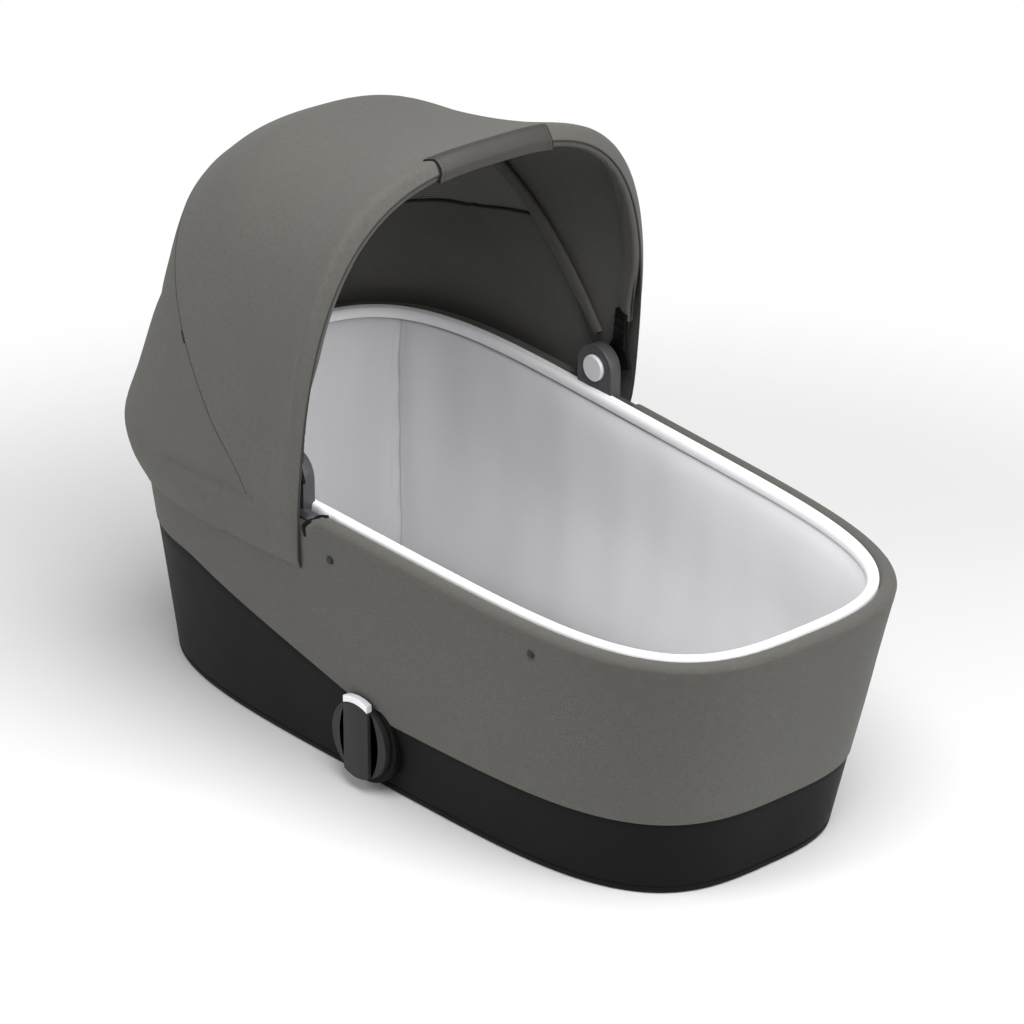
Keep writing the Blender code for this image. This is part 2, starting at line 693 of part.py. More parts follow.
def build_hinge(side):
    """Bracket on the hoop, pin through the bow ends, push button and its spring."""
    name = side_name(side)
    faces = eye_faces()
    arc = [(PIVOT_X + BRACKET_RADIUS * cos(pi * step / 16), PIVOT_Z + BRACKET_RADIUS * sin(pi * step / 16))
           for step in range(17)]
    feet = [(x, rim_height(x) + GAP) for x in (PIVOT_X - BRACKET_RADIUS, PIVOT_X + BRACKET_RADIUS)]
    bracket = prism("hinge_bracket_" + name, arc + feet, side * BRACKET_INNER_Y, side * faces["bracket"],
                    GREY_PLASTIC)
    ends = [PIVOT_X - SADDLE_HALF_LENGTH, PIVOT_X + SADDLE_HALF_LENGTH]
    block = [(ends[0], rim_height(ends[0]) + OVERRUN), (ends[1], rim_height(ends[1]) + OVERRUN),
             (ends[1], rim_height(ends[1]) + GAP - SADDLE_DEPTH),
             (ends[0], rim_height(ends[0]) + GAP - SADDLE_DEPTH)]
    saddle = prism("saddle_" + name, block, side * saddle_inner(), side * saddle_outer(), collection=CUTTERS)
    combine(bracket, saddle, "UNION")
    centre = (PIVOT_X, 0.0, PIVOT_Z)
    bore_end = BRACKET_INNER_Y + BUTTON_BORE_DEPTH
    well = drum("button_well_" + name, centre, BUTTON_RADIUS + GAP, side * (BRACKET_INNER_Y - OVERRUN),
                side * bore_end, collection=CUTTERS)
    combine(bracket, well, "DIFFERENCE")
    pin_bore = drum("pin_bore_" + name, centre, PIN_RADIUS + GAP, side * (bore_end - OVERRUN),
                    side * (faces["end"] + OVERRUN), segments=24, collection=CUTTERS)
    combine(bracket, pin_bore, "DIFFERENCE")

    head_start = bore_end - GAP - PIN_HEAD
    outer_head = faces["end"]
    profile = [(0.0, head_start), (PIN_HEAD_RADIUS, head_start), (PIN_HEAD_RADIUS, head_start + PIN_HEAD),
               (PIN_RADIUS, head_start + PIN_HEAD), (PIN_RADIUS, outer_head), (PIN_HEAD_RADIUS, outer_head),
               (PIN_HEAD_RADIUS, outer_head + PIN_HEAD), (0.0, outer_head + PIN_HEAD)]
    turned("hinge_pin_" + name, profile, centre, STEEL, side)

    button_end = BRACKET_INNER_Y + BUTTON_SUNK
    button = drum("hinge_button_" + name, centre, BUTTON_RADIUS, side * (BRACKET_INNER_Y - BUTTON_PROUD),
                  side * button_end, SILVER)
    button = round_edges(button, BUTTON_BEVEL)
    start = button_end + GAP + SPRING_WIRE
    end = bore_end - GAP - SPRING_WIRE
    coil = []
    steps = BUTTON_SPRING_TURNS * COIL_STEPS
    for step in range(steps + 1):
        angle = 2 * pi * step / COIL_STEPS
        coil.append((PIVOT_X + BUTTON_SPRING_RADIUS * cos(angle), side * between(start, end, step / steps),
                     PIVOT_Z + BUTTON_SPRING_RADIUS * sin(angle)))
    tube("button_spring_" + name, coil, SPRING_WIRE, STEEL, resolution=0)
    return pin_bore


def arch(base_x, base_z, lean, half_width, rise, power, tail=None, inset=0.0, behind=0.0, start=0.0,
         stop=None):
    """A line over the hood from the near hem to the far hem, in a leaning plane above its base.

    Inset moves the arched part inwards, and behind moves it square to its plane. Start is the height
    above the base where it begins, and a stop makes it a short piece on the near side only. A tail holds
    the X of its hem and of its point at the rim, for a line that runs down to the hem.
    """
    along = Vector((sin(lean), 0.0, cos(lean)))
    back = Vector((-cos(lean), 0.0, sin(lean)))
    base = Vector((base_x, 0.0, base_z)) + back * behind
    half, height = half_width - inset, rise - inset
    first = asin((start / height) ** (power / 2))
    last = asin((stop / height) ** (power / 2)) if stop else pi / 2
    fine = []
    measure = [0.0]
    for step in range(FINE_STEPS + 1):
        angle = between(first, last, step / FINE_STEPS)
        fine.append((half * max(cos(angle), 0.0) ** (2 / power), height * sin(angle) ** (2 / power)))
        if step:
            measure.append(measure[-1] + hypot(fine[-1][0] - fine[-2][0], fine[-1][1] - fine[-2][1]))
    count = SHORT_STEPS if stop else ARCH_STEPS // 2
    rising = [base + along * up + Vector((0.0, -out, 0.0)) for out, up in spaced(fine, measure, count)]
    if stop:
        return rising
    near = []
    if tail:
        hem = Vector((tail[0], -(wall_y(tail[0], HOOD_HEM_Z) + HEM_STAND_OFF + SKIN), HOOD_HEM_Z))
        knee_y = wall_y(tail[1], EDGE_BASE_Z) + KNEE_STAND_OFF + SKIN
        knee = Vector((tail[1], min(rising[0].y, -knee_y), EDGE_BASE_Z))
        near = [hem, between(hem, knee, 0.5)]
        if start:
            near.append(knee)
    near = near + rising
    return near + [Vector((p.x, -p.y, p.z)) for p in reversed(near[:-1])]


def visor_line(share, inset=0.0, extra=0.0, hem=False, start=0.0, stop=None):
    """A line on the band from the front edge (share 0) to the shoulder (share 1)."""
    half_width = between(EDGE_HALF_WIDTH, SHOULDER_HALF_WIDTH, share)
    rise = between(EDGE_RISE, SHOULDER_RISE, share)
    power = between(EDGE_POWER, SHOULDER_POWER, share)
    tail = None
    if hem:
        hem_x = between(EDGE_HEM_X, SHOULDER_HEM_X, share)
        knee_x = EDGE_BASE_X - SHOULDER_BEHIND * share * cos(EDGE_LEAN)
        tail = (hem_x, knee_x)
    return arch(EDGE_BASE_X, EDGE_BASE_Z, EDGE_LEAN, half_width, rise, power, tail, inset,
                SHOULDER_BEHIND * share + extra, start, stop)


def mid_line(inset=0.0, extra=0.0, hem=False, start=0.0):
    tail = (MID_HEM_X, MID_KNEE_X) if hem else None
    return arch(MID_BASE_X, EDGE_BASE_Z, MID_LEAN, MID_HALF_WIDTH, MID_RISE, MID_POWER, tail, inset, extra,
                start)


def rear_line(inset=0.0):
    return arch(REAR_BASE_X, EDGE_BASE_Z, REAR_LEAN, REAR_HALF_WIDTH, REAR_RISE, REAR_POWER,
                (REAR_HEM_X, REAR_BASE_X), inset, start=LINE_START)


def spread(row_a, row_b, share, lift=0.0):
    """A row part of the way between two rows, lifted away from the hinge at its top."""
    axis = Vector((PIVOT_X, 0.0, PIVOT_Z))
    row = []
    for a, b in zip(row_a, row_b):
        point = between(a, b, share)
        out = Vector((point.x - axis.x, 0.0, max(point.z - axis.z, 0.0)))
        reach = max(point.z - HOOD_HEM_Z, 0.0) / REAR_RISE
        row.append(point + out.normalized() * lift * min(reach, 1.0) ** 2)
    return row


def head_ring_row(z, stand_off, count, start_x):
    """A level row round the head end of the wall, from a place on the near side to the far side."""
    points = moved_in(ring(level(z)), -stand_off)
    half = len(points) // 2
    path = [points[i] for i in range(half, len(points))] + [points[0]]
    near = [p for p in path if p.x <= start_x]
    a, b = path[len(near) - 1], path[len(near)]
    near.append(between(a, b, (start_x - a.x) / (b.x - a.x)))
    near.reverse()
    line = near + [Vector((p.x, -p.y, p.z)) for p in reversed(near[:-1])]
    measure = [0.0]
    for p, q in zip(line[:-1], line[1:]):
        measure.append(measure[-1] + (q - p).length)
    return [Vector(p) for p in spaced([tuple(p) for p in line], measure, count - 1)]


def swollen_row(z, stand_off, count, order):
    """A row that stands off at the head end, lies close to the wall at the sides and runs down to the hem."""
    start_x = REAR_HEM_X - REAR_ROW_PITCH * order
    drop = [HOOD_HEM_Z, between(HOOD_HEM_Z, z, 0.5), between(HOOD_HEM_Z, z, 0.9)]
    tail = [Vector((start_x, -(wall_y(start_x, low) + HEM_STAND_OFF + SKIN), low)) for low in drop]
    arc = count - 2 * len(tail)
    close = head_ring_row(z, HEM_STAND_OFF + SKIN, arc, start_x)
    row = []
    for k, (a, b) in enumerate(zip(head_ring_row(z, stand_off, arc, start_x), close)):
        from_middle = abs(2 * k / (arc - 1) - 1)
        row.append(between(a, b, min(max((from_middle - SWELL_SHARE) / (1 - SWELL_SHARE), 0.0), 1.0)))
    return tail + row + [Vector((p.x, -p.y, p.z)) for p in reversed(tail)]


def hood_rows():
    """Rows of the hood's outside, from the front edge over both bows and down to the hem at the head."""
    edge, shoulder = visor_line(0.0, hem=True, start=LINE_START), visor_line(1.0, hem=True, start=LINE_START)
    mid, rear = mid_line(hem=True, start=LINE_START), rear_line()
    count = len(rear)
    roll = visor_line(VISOR_ROLL_SHARE, -VISOR_ROLL, hem=True, start=LINE_START)
    front = [edge, roll, shoulder]
    for share in (0.25, 0.5, 0.75):
        front.append(spread(shoulder, mid, share, -FRONT_SAG * 4 * share * (1 - share)))
    main = [mid]
    for share in (0.25, 0.5, 0.75):
        main.append(spread(mid, rear, share, MAIN_BULGE * 4 * share * (1 - share)))
    swell = swollen_row(REAR_BULGE_Z, REAR_BULGE_OUT, count, 4)
    middle = spread(rear, swell, REAR_MIDDLE_SHARE)
    hem = head_ring_row(HOOD_HEM_Z, REAR_HEM_OUT, count, REAR_HEM_X - REAR_ROW_PITCH * 6)
    back = [rear, spread(rear, middle, 0.5), middle, spread(middle, swell, 0.5), swell,
            swollen_row(REAR_UNDER_Z, REAR_UNDER_OUT, count, 5), hem]
    return front, main, back


def build_hood():
    """Three fabric panels that meet at the middle bow and at the rear seam."""
    front, main, back = hood_rows()
    rows = front + main + back
    inner = inside_rows(rows, HOOD_FABRIC)
    first = len(front)
    second = first + len(main)
    spans = {"hood_front_panel": (0, first), "hood_main_panel": (first, second),
             "hood_rear_panel": (second, len(rows) - 1)}
    for name, (start, stop) in spans.items():
        sheets = []
        for layer in (rows, inner):
            sheet = [list(row) for row in layer[start:stop + 1]]
            if start:
                sheet[0] = stepped(layer[start], layer[start + 1])
            if stop < len(rows) - 1:
                sheet[-1] = stepped(layer[stop], layer[stop - 1])
            sheets.append(sheet)
        loft(name, sheets[0] + sheets[1][::-1], FABRIC, closed_rows=False, joined_ends=True, caps="ends",
             split=True)
    net_depth = HOOD_FABRIC + 2 * GAP
    build_mesh_window(inside_rows(rows, net_depth), inside_rows(rows, net_depth + MESH_SHEET), first)


def stepped(row, neighbour):
    """A seam row moved half the seam's gap towards its neighbour."""
    return [a + (b - a).normalized() * SEAM_GAP / 2 for a, b in zip(row, neighbour)]


def inside_rows(rows, depth):
    """The same rows, moved square to the sheet towards its inside."""
    moved = []
    last = len(rows) - 1
    for r, row in enumerate(rows):
        before, after = rows[max(r - 1, 0)], rows[min(r + 1, last)]
        line = []
        for i, point in enumerate(row):
            along = row[min(i + 1, len(row) - 1)] - row[max(i - 1, 0)]
            normal = (after[i] - before[i]).cross(along).normalized()
            line.append(point + normal * depth)
        moved.append(line)
    return moved


def build_mesh_window(upper, lower, first):
    """Net sheet under the top of the main panel, behind the middle bow."""
    lines = []
    for rows in (upper, lower):
        kept = [rows[first + k][MESH_SKIP:-MESH_SKIP] for k in range(MESH_ROWS)]
        kept[0] = spread(kept[0], kept[1], MESH_START_SHARE)
        lines.append(kept)
    loft("mesh_window", lines[0] + lines[1][::-1], NET, closed_rows=False, joined_ends=True, caps="ends",
         split=True)


def strip(name, lines, finish, collection=None):
    """A bar whose four edges run along the four lines."""
    return loft(name, lines, finish, closed_rows=False, joined_ends=True, caps="ends", collection=collection)


def mirrored(lines, side):
    return [[Vector((p.x, -side * p.y, p.z)) for p in line] for line in lines]


def build_bows(pin_bores):
    """Middle bow with an arm and eye at each end, and the front bow with a ribbed socket at each end."""
    faces = eye_faces()
    mid_lines = [mid_line(MID_BOW_FRONT_INSET, MID_BOW_FRONT, start=MID_BOW_START),
                 mid_line(MID_BOW_REAR_INSET, MID_BOW_REAR, start=MID_BOW_START),
                 mid_line(MID_BOW_REAR_INSET + BOW_THICK, MID_BOW_REAR, start=MID_BOW_START),
                 mid_line(MID_BOW_FRONT_INSET + BOW_THICK, MID_BOW_FRONT, start=MID_BOW_START)]
    mid_bow = strip("mid_bow", mid_lines, FABRIC_DARK)
    near, far = FRONT_BOW_SHARES
    thick = BOW_INSET + BOW_THICK
    strip("front_bow", [visor_line(near, BOW_INSET, start=FRONT_BOW_START),
                        visor_line(far, BOW_INSET, start=FRONT_BOW_START),
                        visor_line(far, thick, start=FRONT_BOW_START),
                        visor_line(near, thick, start=FRONT_BOW_START)], FABRIC_DARK)
    for side in (-1, 1):
        build_mid_arm(mid_bow, mid_lines, side, faces)
        build_socket(side, faces, pin_bores[side])
    for side in (-1, 1):
        combine(mid_bow, pin_bores[side], "DIFFERENCE")


def build_mid_arm(mid_bow, mid_lines, side, faces):
    along = Vector((sin(MID_LEAN), 0.0, cos(MID_LEAN)))
    across = Vector((cos(MID_LEAN), 0.0, -sin(MID_LEAN)))
    pivot = Vector((PIVOT_X, 0.0, PIVOT_Z))
    foot = [(mid_lines[0][1] + mid_lines[1][1]) / 2, (mid_lines[2][1] + mid_lines[3][1]) / 2]
    lines = []
    for edge, layer in ((-1, 0), (1, 0), (1, 1), (-1, 1)):
        y = -(faces["mid"] + MID_EYE * (1 - layer) - ARM_STEP_IN * (1 - 2 * layer))
        start = pivot + across * edge * MID_ARM_HALF
        bend = start + along * MID_ARM_STRAIGHT
        end = foot[layer] + across * edge * MID_ARM_HALF
        end_y = foot[layer].y + ARM_END_STEP_IN * (1 - 2 * layer)
        lines.append([Vector((start.x, y, start.z)), Vector((bend.x, y, bend.z)),
                      Vector((end.x, end_y, end.z))])
    arm = strip("mid_arm_" + side_name(side), mirrored(lines, side), None, CUTTERS)
    eye = drum("mid_eye_" + side_name(side), (PIVOT_X, 0.0, PIVOT_Z), EYE_RADIUS,
               side * faces["mid"], side * (faces["mid"] + MID_EYE), segments=32, collection=CUTTERS)
    combine(arm, eye, "UNION")
    combine(mid_bow, arm, "UNION")


def build_socket(side, faces, pin_bore):
    """Black end piece of the front bow: an eye on the pin, an arm and a ribbed block that holds the bow."""
    name = side_name(side)
    near, far = FRONT_BOW_SHARES
    top = BOW_INSET + BOW_THICK + GAP
    bottom = top + SOCKET_THICK

    def block(part, start, stop, upper, lower, trim, finish=None, collection=CUTTERS):
        low, high = near + trim, far - trim
        corners = ((low, upper), (high, upper), (high, lower), (low, lower))
        lines = [visor_line(share, inset, start=start, stop=stop) for share, inset in corners]
        return strip(part, mirrored(lines, side), finish, collection)
    socket = block("bow_socket_" + name, SOCKET_START, SOCKET_END, top, bottom, 0.0, BLACK_PLASTIC, NODES)
    pitch = (SOCKET_END - SOCKET_START) / (SOCKET_RIBS + 1)
    for rib in range(SOCKET_RIBS):
        start = SOCKET_START + pitch * (rib + 1)
        ridge = block("socket_rib_%s_%d" % (name, rib + 1), start, start + SOCKET_RIB_HEIGHT,
                      (top + bottom) / 2, bottom + SOCKET_RIB, SOCKET_RIB_TRIM_SHARE)
        combine(socket, ridge, "UNION")
    inner, outer = faces["front"], faces["front"] + FRONT_EYE
    eye = drum("socket_eye_" + name, (PIVOT_X, 0.0, PIVOT_Z), EYE_RADIUS, side * inner, side * outer,
               segments=32, collection=CUTTERS)
    block_foot = [visor_line(share, top, start=SOCKET_START, stop=SOCKET_END)[0] for share in (near, far)]
    lift = Vector((sin(EDGE_LEAN), 0.0, cos(EDGE_LEAN))) * (FRONT_BOW_START - SOCKET_START - GAP)
    front, rear = block_foot[0] + lift, block_foot[1] + lift
    front_x, rear_x = front.x - ARM_END_STEP_IN, rear.x + ARM_END_STEP_IN
    corners = [(PIVOT_X, PIVOT_Z - EYE_RADIUS), (front_x, front.z - BRACKET_RADIUS), (front_x, front.z),
               (rear_x, rear.z), (PIVOT_X - EYE_RADIUS, PIVOT_Z)]
    arm = prism("socket_arm_" + name, corners, side * (inner + ARM_STEP_IN), side * (outer - ARM_STEP_IN),
                collection=CUTTERS)
    combine(socket, arm, "UNION")
    combine(socket, eye, "UNION")
    combine(socket, pin_bore, "DIFFERENCE")


def build_grip():
    """Leatherette grip folded over the middle of the front edge."""
    clear = GAP
    under = BOW_INSET + BOW_THICK + GRIP_ROOM
    top_out = VISOR_ROLL * (1 - GRIP_TOP_SHARE) / (1 - VISOR_ROLL_SHARE) + clear
    section = [(GRIP_TOP_SHARE, -top_out - GRIP_SHEET, 0.0),
               (VISOR_ROLL_SHARE, -VISOR_ROLL - clear - GRIP_SHEET, -clear),
               (0.0, -clear - GRIP_SHEET, -clear - GRIP_SHEET),
               (0.0, under + GRIP_SHEET, -clear - GRIP_SHEET), (GRIP_INSIDE_SHARE, under + GRIP_SHEET, 0.0),
               (GRIP_INSIDE_SHARE, under, 0.0), (0.0, under, -clear),
               (0.0, -clear, -clear), (VISOR_ROLL_SHARE, -VISOR_ROLL - clear, -clear),
               (GRIP_TOP_SHARE, -top_out, 0.0)]
    dips = [0.0, 0.7, 1.0, 0.6, 0.0, 0.0, 0.6, 1.0, 0.7, 0.0]
    along = Vector((sin(EDGE_LEAN), 0.0, cos(EDGE_LEAN)))
    back = Vector((-cos(EDGE_LEAN), 0.0, sin(EDGE_LEAN)))
    lines = []
    for (share, inset, extra), dip in zip(section, dips):
        half = between(EDGE_HALF_WIDTH, SHOULDER_HALF_WIDTH, share) - inset
        rise = between(EDGE_RISE, SHOULDER_RISE, share) - inset
        power = between(EDGE_POWER, SHOULDER_POWER, share)
        reach = GRIP_HALF_LENGTH - GRIP_END_DIP * dip
        base = Vector((EDGE_BASE_X, 0.0, EDGE_BASE_Z)) + back * (SHOULDER_BEHIND * share + extra)
        line = []
        for step in range(GRIP_STEPS + 1):
            y = between(-reach, reach, step / GRIP_STEPS)
            up = rise * (1 - (abs(y) / half) ** power) ** (1 / power)
            line.append(base + along * up + Vector((0.0, y, 0.0)))
        lines.append(line)
    strip("grip", lines, LEATHERETTE)


def build_adapter(side):
    """Round adapter socket with a raised bar, a pull tab with its spring, and two screws from inside."""
    name = side_name(side)
    centre = (ADAPTER_X, 0.0, ADAPTER_Z)
    back = ADAPTER_BACK_Y + GAP
    disc = drum("adapter_" + name, centre, ADAPTER_RADIUS, side * back, side * (back + ADAPTER_DISC),
                GREY_PLASTIC)
    for end, way in (("head", -1), ("foot", 1)):
        arc_x = ADAPTER_X - way * (ADAPTER_GROOVE_RADIUS - ADAPTER_GROOVE_REACH)
        floor_y = back + ADAPTER_DISC - ADAPTER_GROOVE_DEPTH
        groove = drum("adapter_groove_%s_%s" % (name, end), (arc_x, 0.0, ADAPTER_Z), ADAPTER_GROOVE_RADIUS,
                      side * floor_y, side * (back + ADAPTER_DISC + OVERRUN), segments=96, collection=CUTTERS)
        y = sided(side, floor_y - OVERRUN, back + ADAPTER_DISC + 2 * OVERRUN)
        x = sided(way, ADAPTER_BAR_HALF - GAP, ADAPTER_RADIUS + OVERRUN)
        crescent = box("groove_keep_%s_%s" % (name, end),
                       (ADAPTER_X + x[0], y[0], ADAPTER_Z - ADAPTER_GROOVE_RADIUS - OVERRUN),
                       (ADAPTER_X + x[1], y[1], ADAPTER_Z + ADAPTER_GROOVE_RADIUS + OVERRUN),
                       collection=CUTTERS)
        combine(groove, crescent, "INTERSECT")
        combine(disc, groove, "DIFFERENCE")
    bar = drum("adapter_bar_" + name, centre, ADAPTER_RADIUS - GAP, side * (back + OVERRUN),
               side * (back + ADAPTER_BAR), collection=CUTTERS)
    y = sided(side, back, back + ADAPTER_BAR + OVERRUN)
    trim = box("adapter_bar_trim_" + name, (ADAPTER_X - ADAPTER_BAR_HALF, y[0], ADAPTER_Z - BOSS_RADIUS),
               (ADAPTER_X + ADAPTER_BAR_HALF, y[1], ADAPTER_Z + BOSS_RADIUS), collection=CUTTERS)
    combine(bar, trim, "INTERSECT")
    combine(disc, bar, "UNION")
    stem_y = sided(side, back + TAB_STEM_INNER, back + TAB_STEM_INNER + TAB_STEM)
    pocket_top = ADAPTER_Z + ADAPTER_RADIUS + OVERRUN
    pocket_bottom = ADAPTER_Z + ADAPTER_RADIUS - TAB_POCKET_LENGTH
    pocket = box("tab_pocket_" + name, (ADAPTER_X - TAB_STEM_HALF - GAP, stem_y[0] - GAP, pocket_bottom),
                 (ADAPTER_X + TAB_STEM_HALF + GAP, stem_y[1] + GAP, pocket_top), collection=CUTTERS)
    combine(disc, pocket, "DIFFERENCE")

    inner, outer = back + TAB_INNER, back + TAB_INNER + TAB_THICK
    tab = drum("adapter_tab_" + name, centre, ADAPTER_RADIUS + GAP + TAB_HEIGHT, side * inner, side * outer,
               WHITE_PLASTIC, segments=64)
    hollow = drum("tab_hollow_" + name, centre, ADAPTER_RADIUS + GAP, side * (inner - OVERRUN),
                  side * (outer + OVERRUN), segments=64, collection=CUTTERS)
    y = sided(side, inner - OVERRUN, outer + OVERRUN)
    tab_half = ADAPTER_BAR_HALF - TAB_SIDE_IN
    keep_top = ADAPTER_Z + ADAPTER_RADIUS + TAB_HEIGHT + OVERRUN
    keep = box("tab_keep_" + name, (ADAPTER_X - tab_half, y[0], ADAPTER_Z),
               (ADAPTER_X + tab_half, y[1], keep_top), collection=CUTTERS)
    combine(tab, hollow, "DIFFERENCE")
    combine(tab, keep, "INTERSECT")
    stem_bottom = ADAPTER_Z + ADAPTER_RADIUS - TAB_STEM_LENGTH
    stem = box("tab_stem_" + name, (ADAPTER_X - TAB_STEM_HALF, stem_y[0], stem_bottom),
               (ADAPTER_X + TAB_STEM_HALF, stem_y[1], ADAPTER_Z + ADAPTER_RADIUS + TAB_HEIGHT / 2),
               collection=CUTTERS)
    combine(tab, stem, "UNION")

    low = pocket_bottom + GAP + TAB_SPRING_WIRE
    high = stem_bottom - GAP - TAB_SPRING_WIRE
    steps = TAB_SPRING_TURNS * COIL_STEPS
    middle_y = (stem_y[0] + stem_y[1]) / 2
    coil = []
    for step in range(steps + 1):
        angle = 2 * pi * step / COIL_STEPS
        coil.append((ADAPTER_X + TAB_SPRING_RADIUS * cos(angle), middle_y + TAB_SPRING_RADIUS * sin(angle),
                     between(low, high, step / steps)))
    tube("tab_spring_" + name, coil, TAB_SPRING_WIRE, STEEL, resolution=0)

    for end, x in screw_places():
        blind = drum("blind_hole_%s_%s" % (name, end), (x, 0.0, ADAPTER_Z), SCREW_RADIUS + GAP,
                     side * (back - OVERRUN), side * (back + SCREW_GRIP + GAP), segments=SMALL_SEGMENTS,
                     collection=CUTTERS)
        combine(disc, blind, "DIFFERENCE")
        head_end = ADAPTER_BACK_Y - SCREW_SEAT_DEPTH - GAP
        profile = [(0.0, head_end - SCREW_HEAD), (SCREW_HEAD_RADIUS, head_end - SCREW_HEAD),
                   (SCREW_HEAD_RADIUS, head_end), (SCREW_RADIUS, head_end), (SCREW_RADIUS, back + SCREW_GRIP),
                   (0.0, back + SCREW_GRIP)]
        turned("adapter_screw_%s_%s" % (name, end), profile, (x, 0.0, ADAPTER_Z), STEEL, side,
               segments=SMALL_SEGMENTS)


def build_studs(side):
    """Press studs on the walls, square to the sloping fabric."""
    for end, (x, depth) in STUD_PLACES.items():
        z = rim_height(x) - depth
        slope = atan2(wall_y(x, z) - wall_y(x, SHELL_HEAD_EDGE), z - SHELL_HEAD_EDGE)
        bm = bmesh.new()
        bmesh.ops.create_cone(bm, cap_ends=True, segments=SMALL_SEGMENTS, radius1=STUD_RADIUS,
                              radius2=STUD_RADIUS * STUD_TOP_SHARE, depth=STUD_HEIGHT)
        turn = Matrix.Rotation(-side * (pi / 2 + slope), 4, "X")
        outward = turn @ Vector((0.0, 0.0, 1.0))
        place = Vector((x, side * wall_y(x, z), z)) + outward * (2 * GAP + STUD_HEIGHT / 2)
        bmesh.ops.transform(bm, matrix=Matrix.Translation(place) @ turn, verts=bm.verts)
        stud_name = "press_stud_%s_%s" % (side_name(side), end)
        smooth(add_object(stud_name, finish_mesh(stud_name, bm), DARK_PLASTIC))


def clear_scene():
    for old in list(bpy.data.objects):
        bpy.data.objects.remove(old, do_unlink=True)


def build():
    clear_scene()
    for collection in (NODES, CUTTERS):
        bpy.context.scene.collection.children.link(collection)
    build_base_shell()
    build_wall_layers()
    build_mattress()
    pin_bores = {side: build_hinge(side) for side in (-1, 1)}
    build_hood()
    build_bows(pin_bores)
    build_grip()
    for side in (-1, 1):
        build_adapter(side)
        build_studs(side)


build()
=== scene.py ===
# %% [markdown]
# # A carrycot, dressed around its CAD frame
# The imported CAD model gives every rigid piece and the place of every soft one. This lesson keeps that frame
# and makes what a photograph shows: cloth with a weave, seams with stitches, moulded plastic and a padded
# mattress. Lengths are metres, +Z is up, +X points to the foot end and -Y is the near side.

# %% Load the frame
import bpy
import bmesh
import json
from math import asin, atan2, cos, exp, hypot, pi, radians, sin
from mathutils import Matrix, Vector, noise
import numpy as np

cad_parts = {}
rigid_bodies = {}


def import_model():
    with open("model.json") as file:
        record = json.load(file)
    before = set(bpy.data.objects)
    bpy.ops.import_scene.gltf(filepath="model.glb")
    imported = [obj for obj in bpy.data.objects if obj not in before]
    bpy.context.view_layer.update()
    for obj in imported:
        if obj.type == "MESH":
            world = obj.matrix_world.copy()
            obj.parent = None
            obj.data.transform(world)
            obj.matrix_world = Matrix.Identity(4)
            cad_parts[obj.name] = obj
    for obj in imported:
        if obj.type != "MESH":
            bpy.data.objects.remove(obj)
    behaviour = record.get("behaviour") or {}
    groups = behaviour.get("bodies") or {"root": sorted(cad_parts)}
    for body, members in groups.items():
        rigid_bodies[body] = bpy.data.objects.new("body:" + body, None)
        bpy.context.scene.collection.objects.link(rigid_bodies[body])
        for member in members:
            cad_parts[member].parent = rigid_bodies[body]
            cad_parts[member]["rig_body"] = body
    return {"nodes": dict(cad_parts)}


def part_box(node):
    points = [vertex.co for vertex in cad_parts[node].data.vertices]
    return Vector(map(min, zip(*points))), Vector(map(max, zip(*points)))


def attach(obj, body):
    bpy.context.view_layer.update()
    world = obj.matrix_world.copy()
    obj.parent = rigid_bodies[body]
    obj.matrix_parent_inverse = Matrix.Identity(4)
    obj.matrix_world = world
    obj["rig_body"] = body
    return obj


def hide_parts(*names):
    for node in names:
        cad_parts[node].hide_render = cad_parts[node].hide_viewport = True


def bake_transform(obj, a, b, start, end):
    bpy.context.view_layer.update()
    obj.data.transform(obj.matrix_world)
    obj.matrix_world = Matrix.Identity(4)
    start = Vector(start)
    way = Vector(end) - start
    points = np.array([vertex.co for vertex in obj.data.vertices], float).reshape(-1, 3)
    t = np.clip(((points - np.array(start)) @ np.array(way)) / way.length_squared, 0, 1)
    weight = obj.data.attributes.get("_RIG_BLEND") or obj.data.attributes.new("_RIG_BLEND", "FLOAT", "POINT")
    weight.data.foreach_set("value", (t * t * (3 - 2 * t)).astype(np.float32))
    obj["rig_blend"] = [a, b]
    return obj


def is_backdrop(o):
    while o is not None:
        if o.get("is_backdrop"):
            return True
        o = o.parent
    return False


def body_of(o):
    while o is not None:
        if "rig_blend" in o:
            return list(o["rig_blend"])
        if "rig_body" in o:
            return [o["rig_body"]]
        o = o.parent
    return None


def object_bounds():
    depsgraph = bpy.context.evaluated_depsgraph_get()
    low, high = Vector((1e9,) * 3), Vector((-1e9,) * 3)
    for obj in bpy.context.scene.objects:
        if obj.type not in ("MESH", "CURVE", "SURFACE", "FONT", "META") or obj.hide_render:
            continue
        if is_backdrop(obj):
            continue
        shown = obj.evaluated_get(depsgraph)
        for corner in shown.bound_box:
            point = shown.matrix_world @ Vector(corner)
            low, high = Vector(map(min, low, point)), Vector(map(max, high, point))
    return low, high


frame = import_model()
CAD_BOX = [list(corner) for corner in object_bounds()]
MM = 0.001

# %% [markdown]
# ## The camera
# The camera's place was found by fitting the outlines of the rim, the tray and the hood to the photograph:
# a long lens from above the near foot corner. It is set first, because every later look is judged through it.

# %% Camera
CAMERA_AZIMUTH = 0.8374
CAMERA_ELEVATION = 0.4232
CAMERA_DISTANCE = 4.5542
CAMERA_TARGET = Vector((0.0067, 0.00485, 0.2512))
CAMERA_LENS, SENSOR_WIDTH = 158.2, 36.0

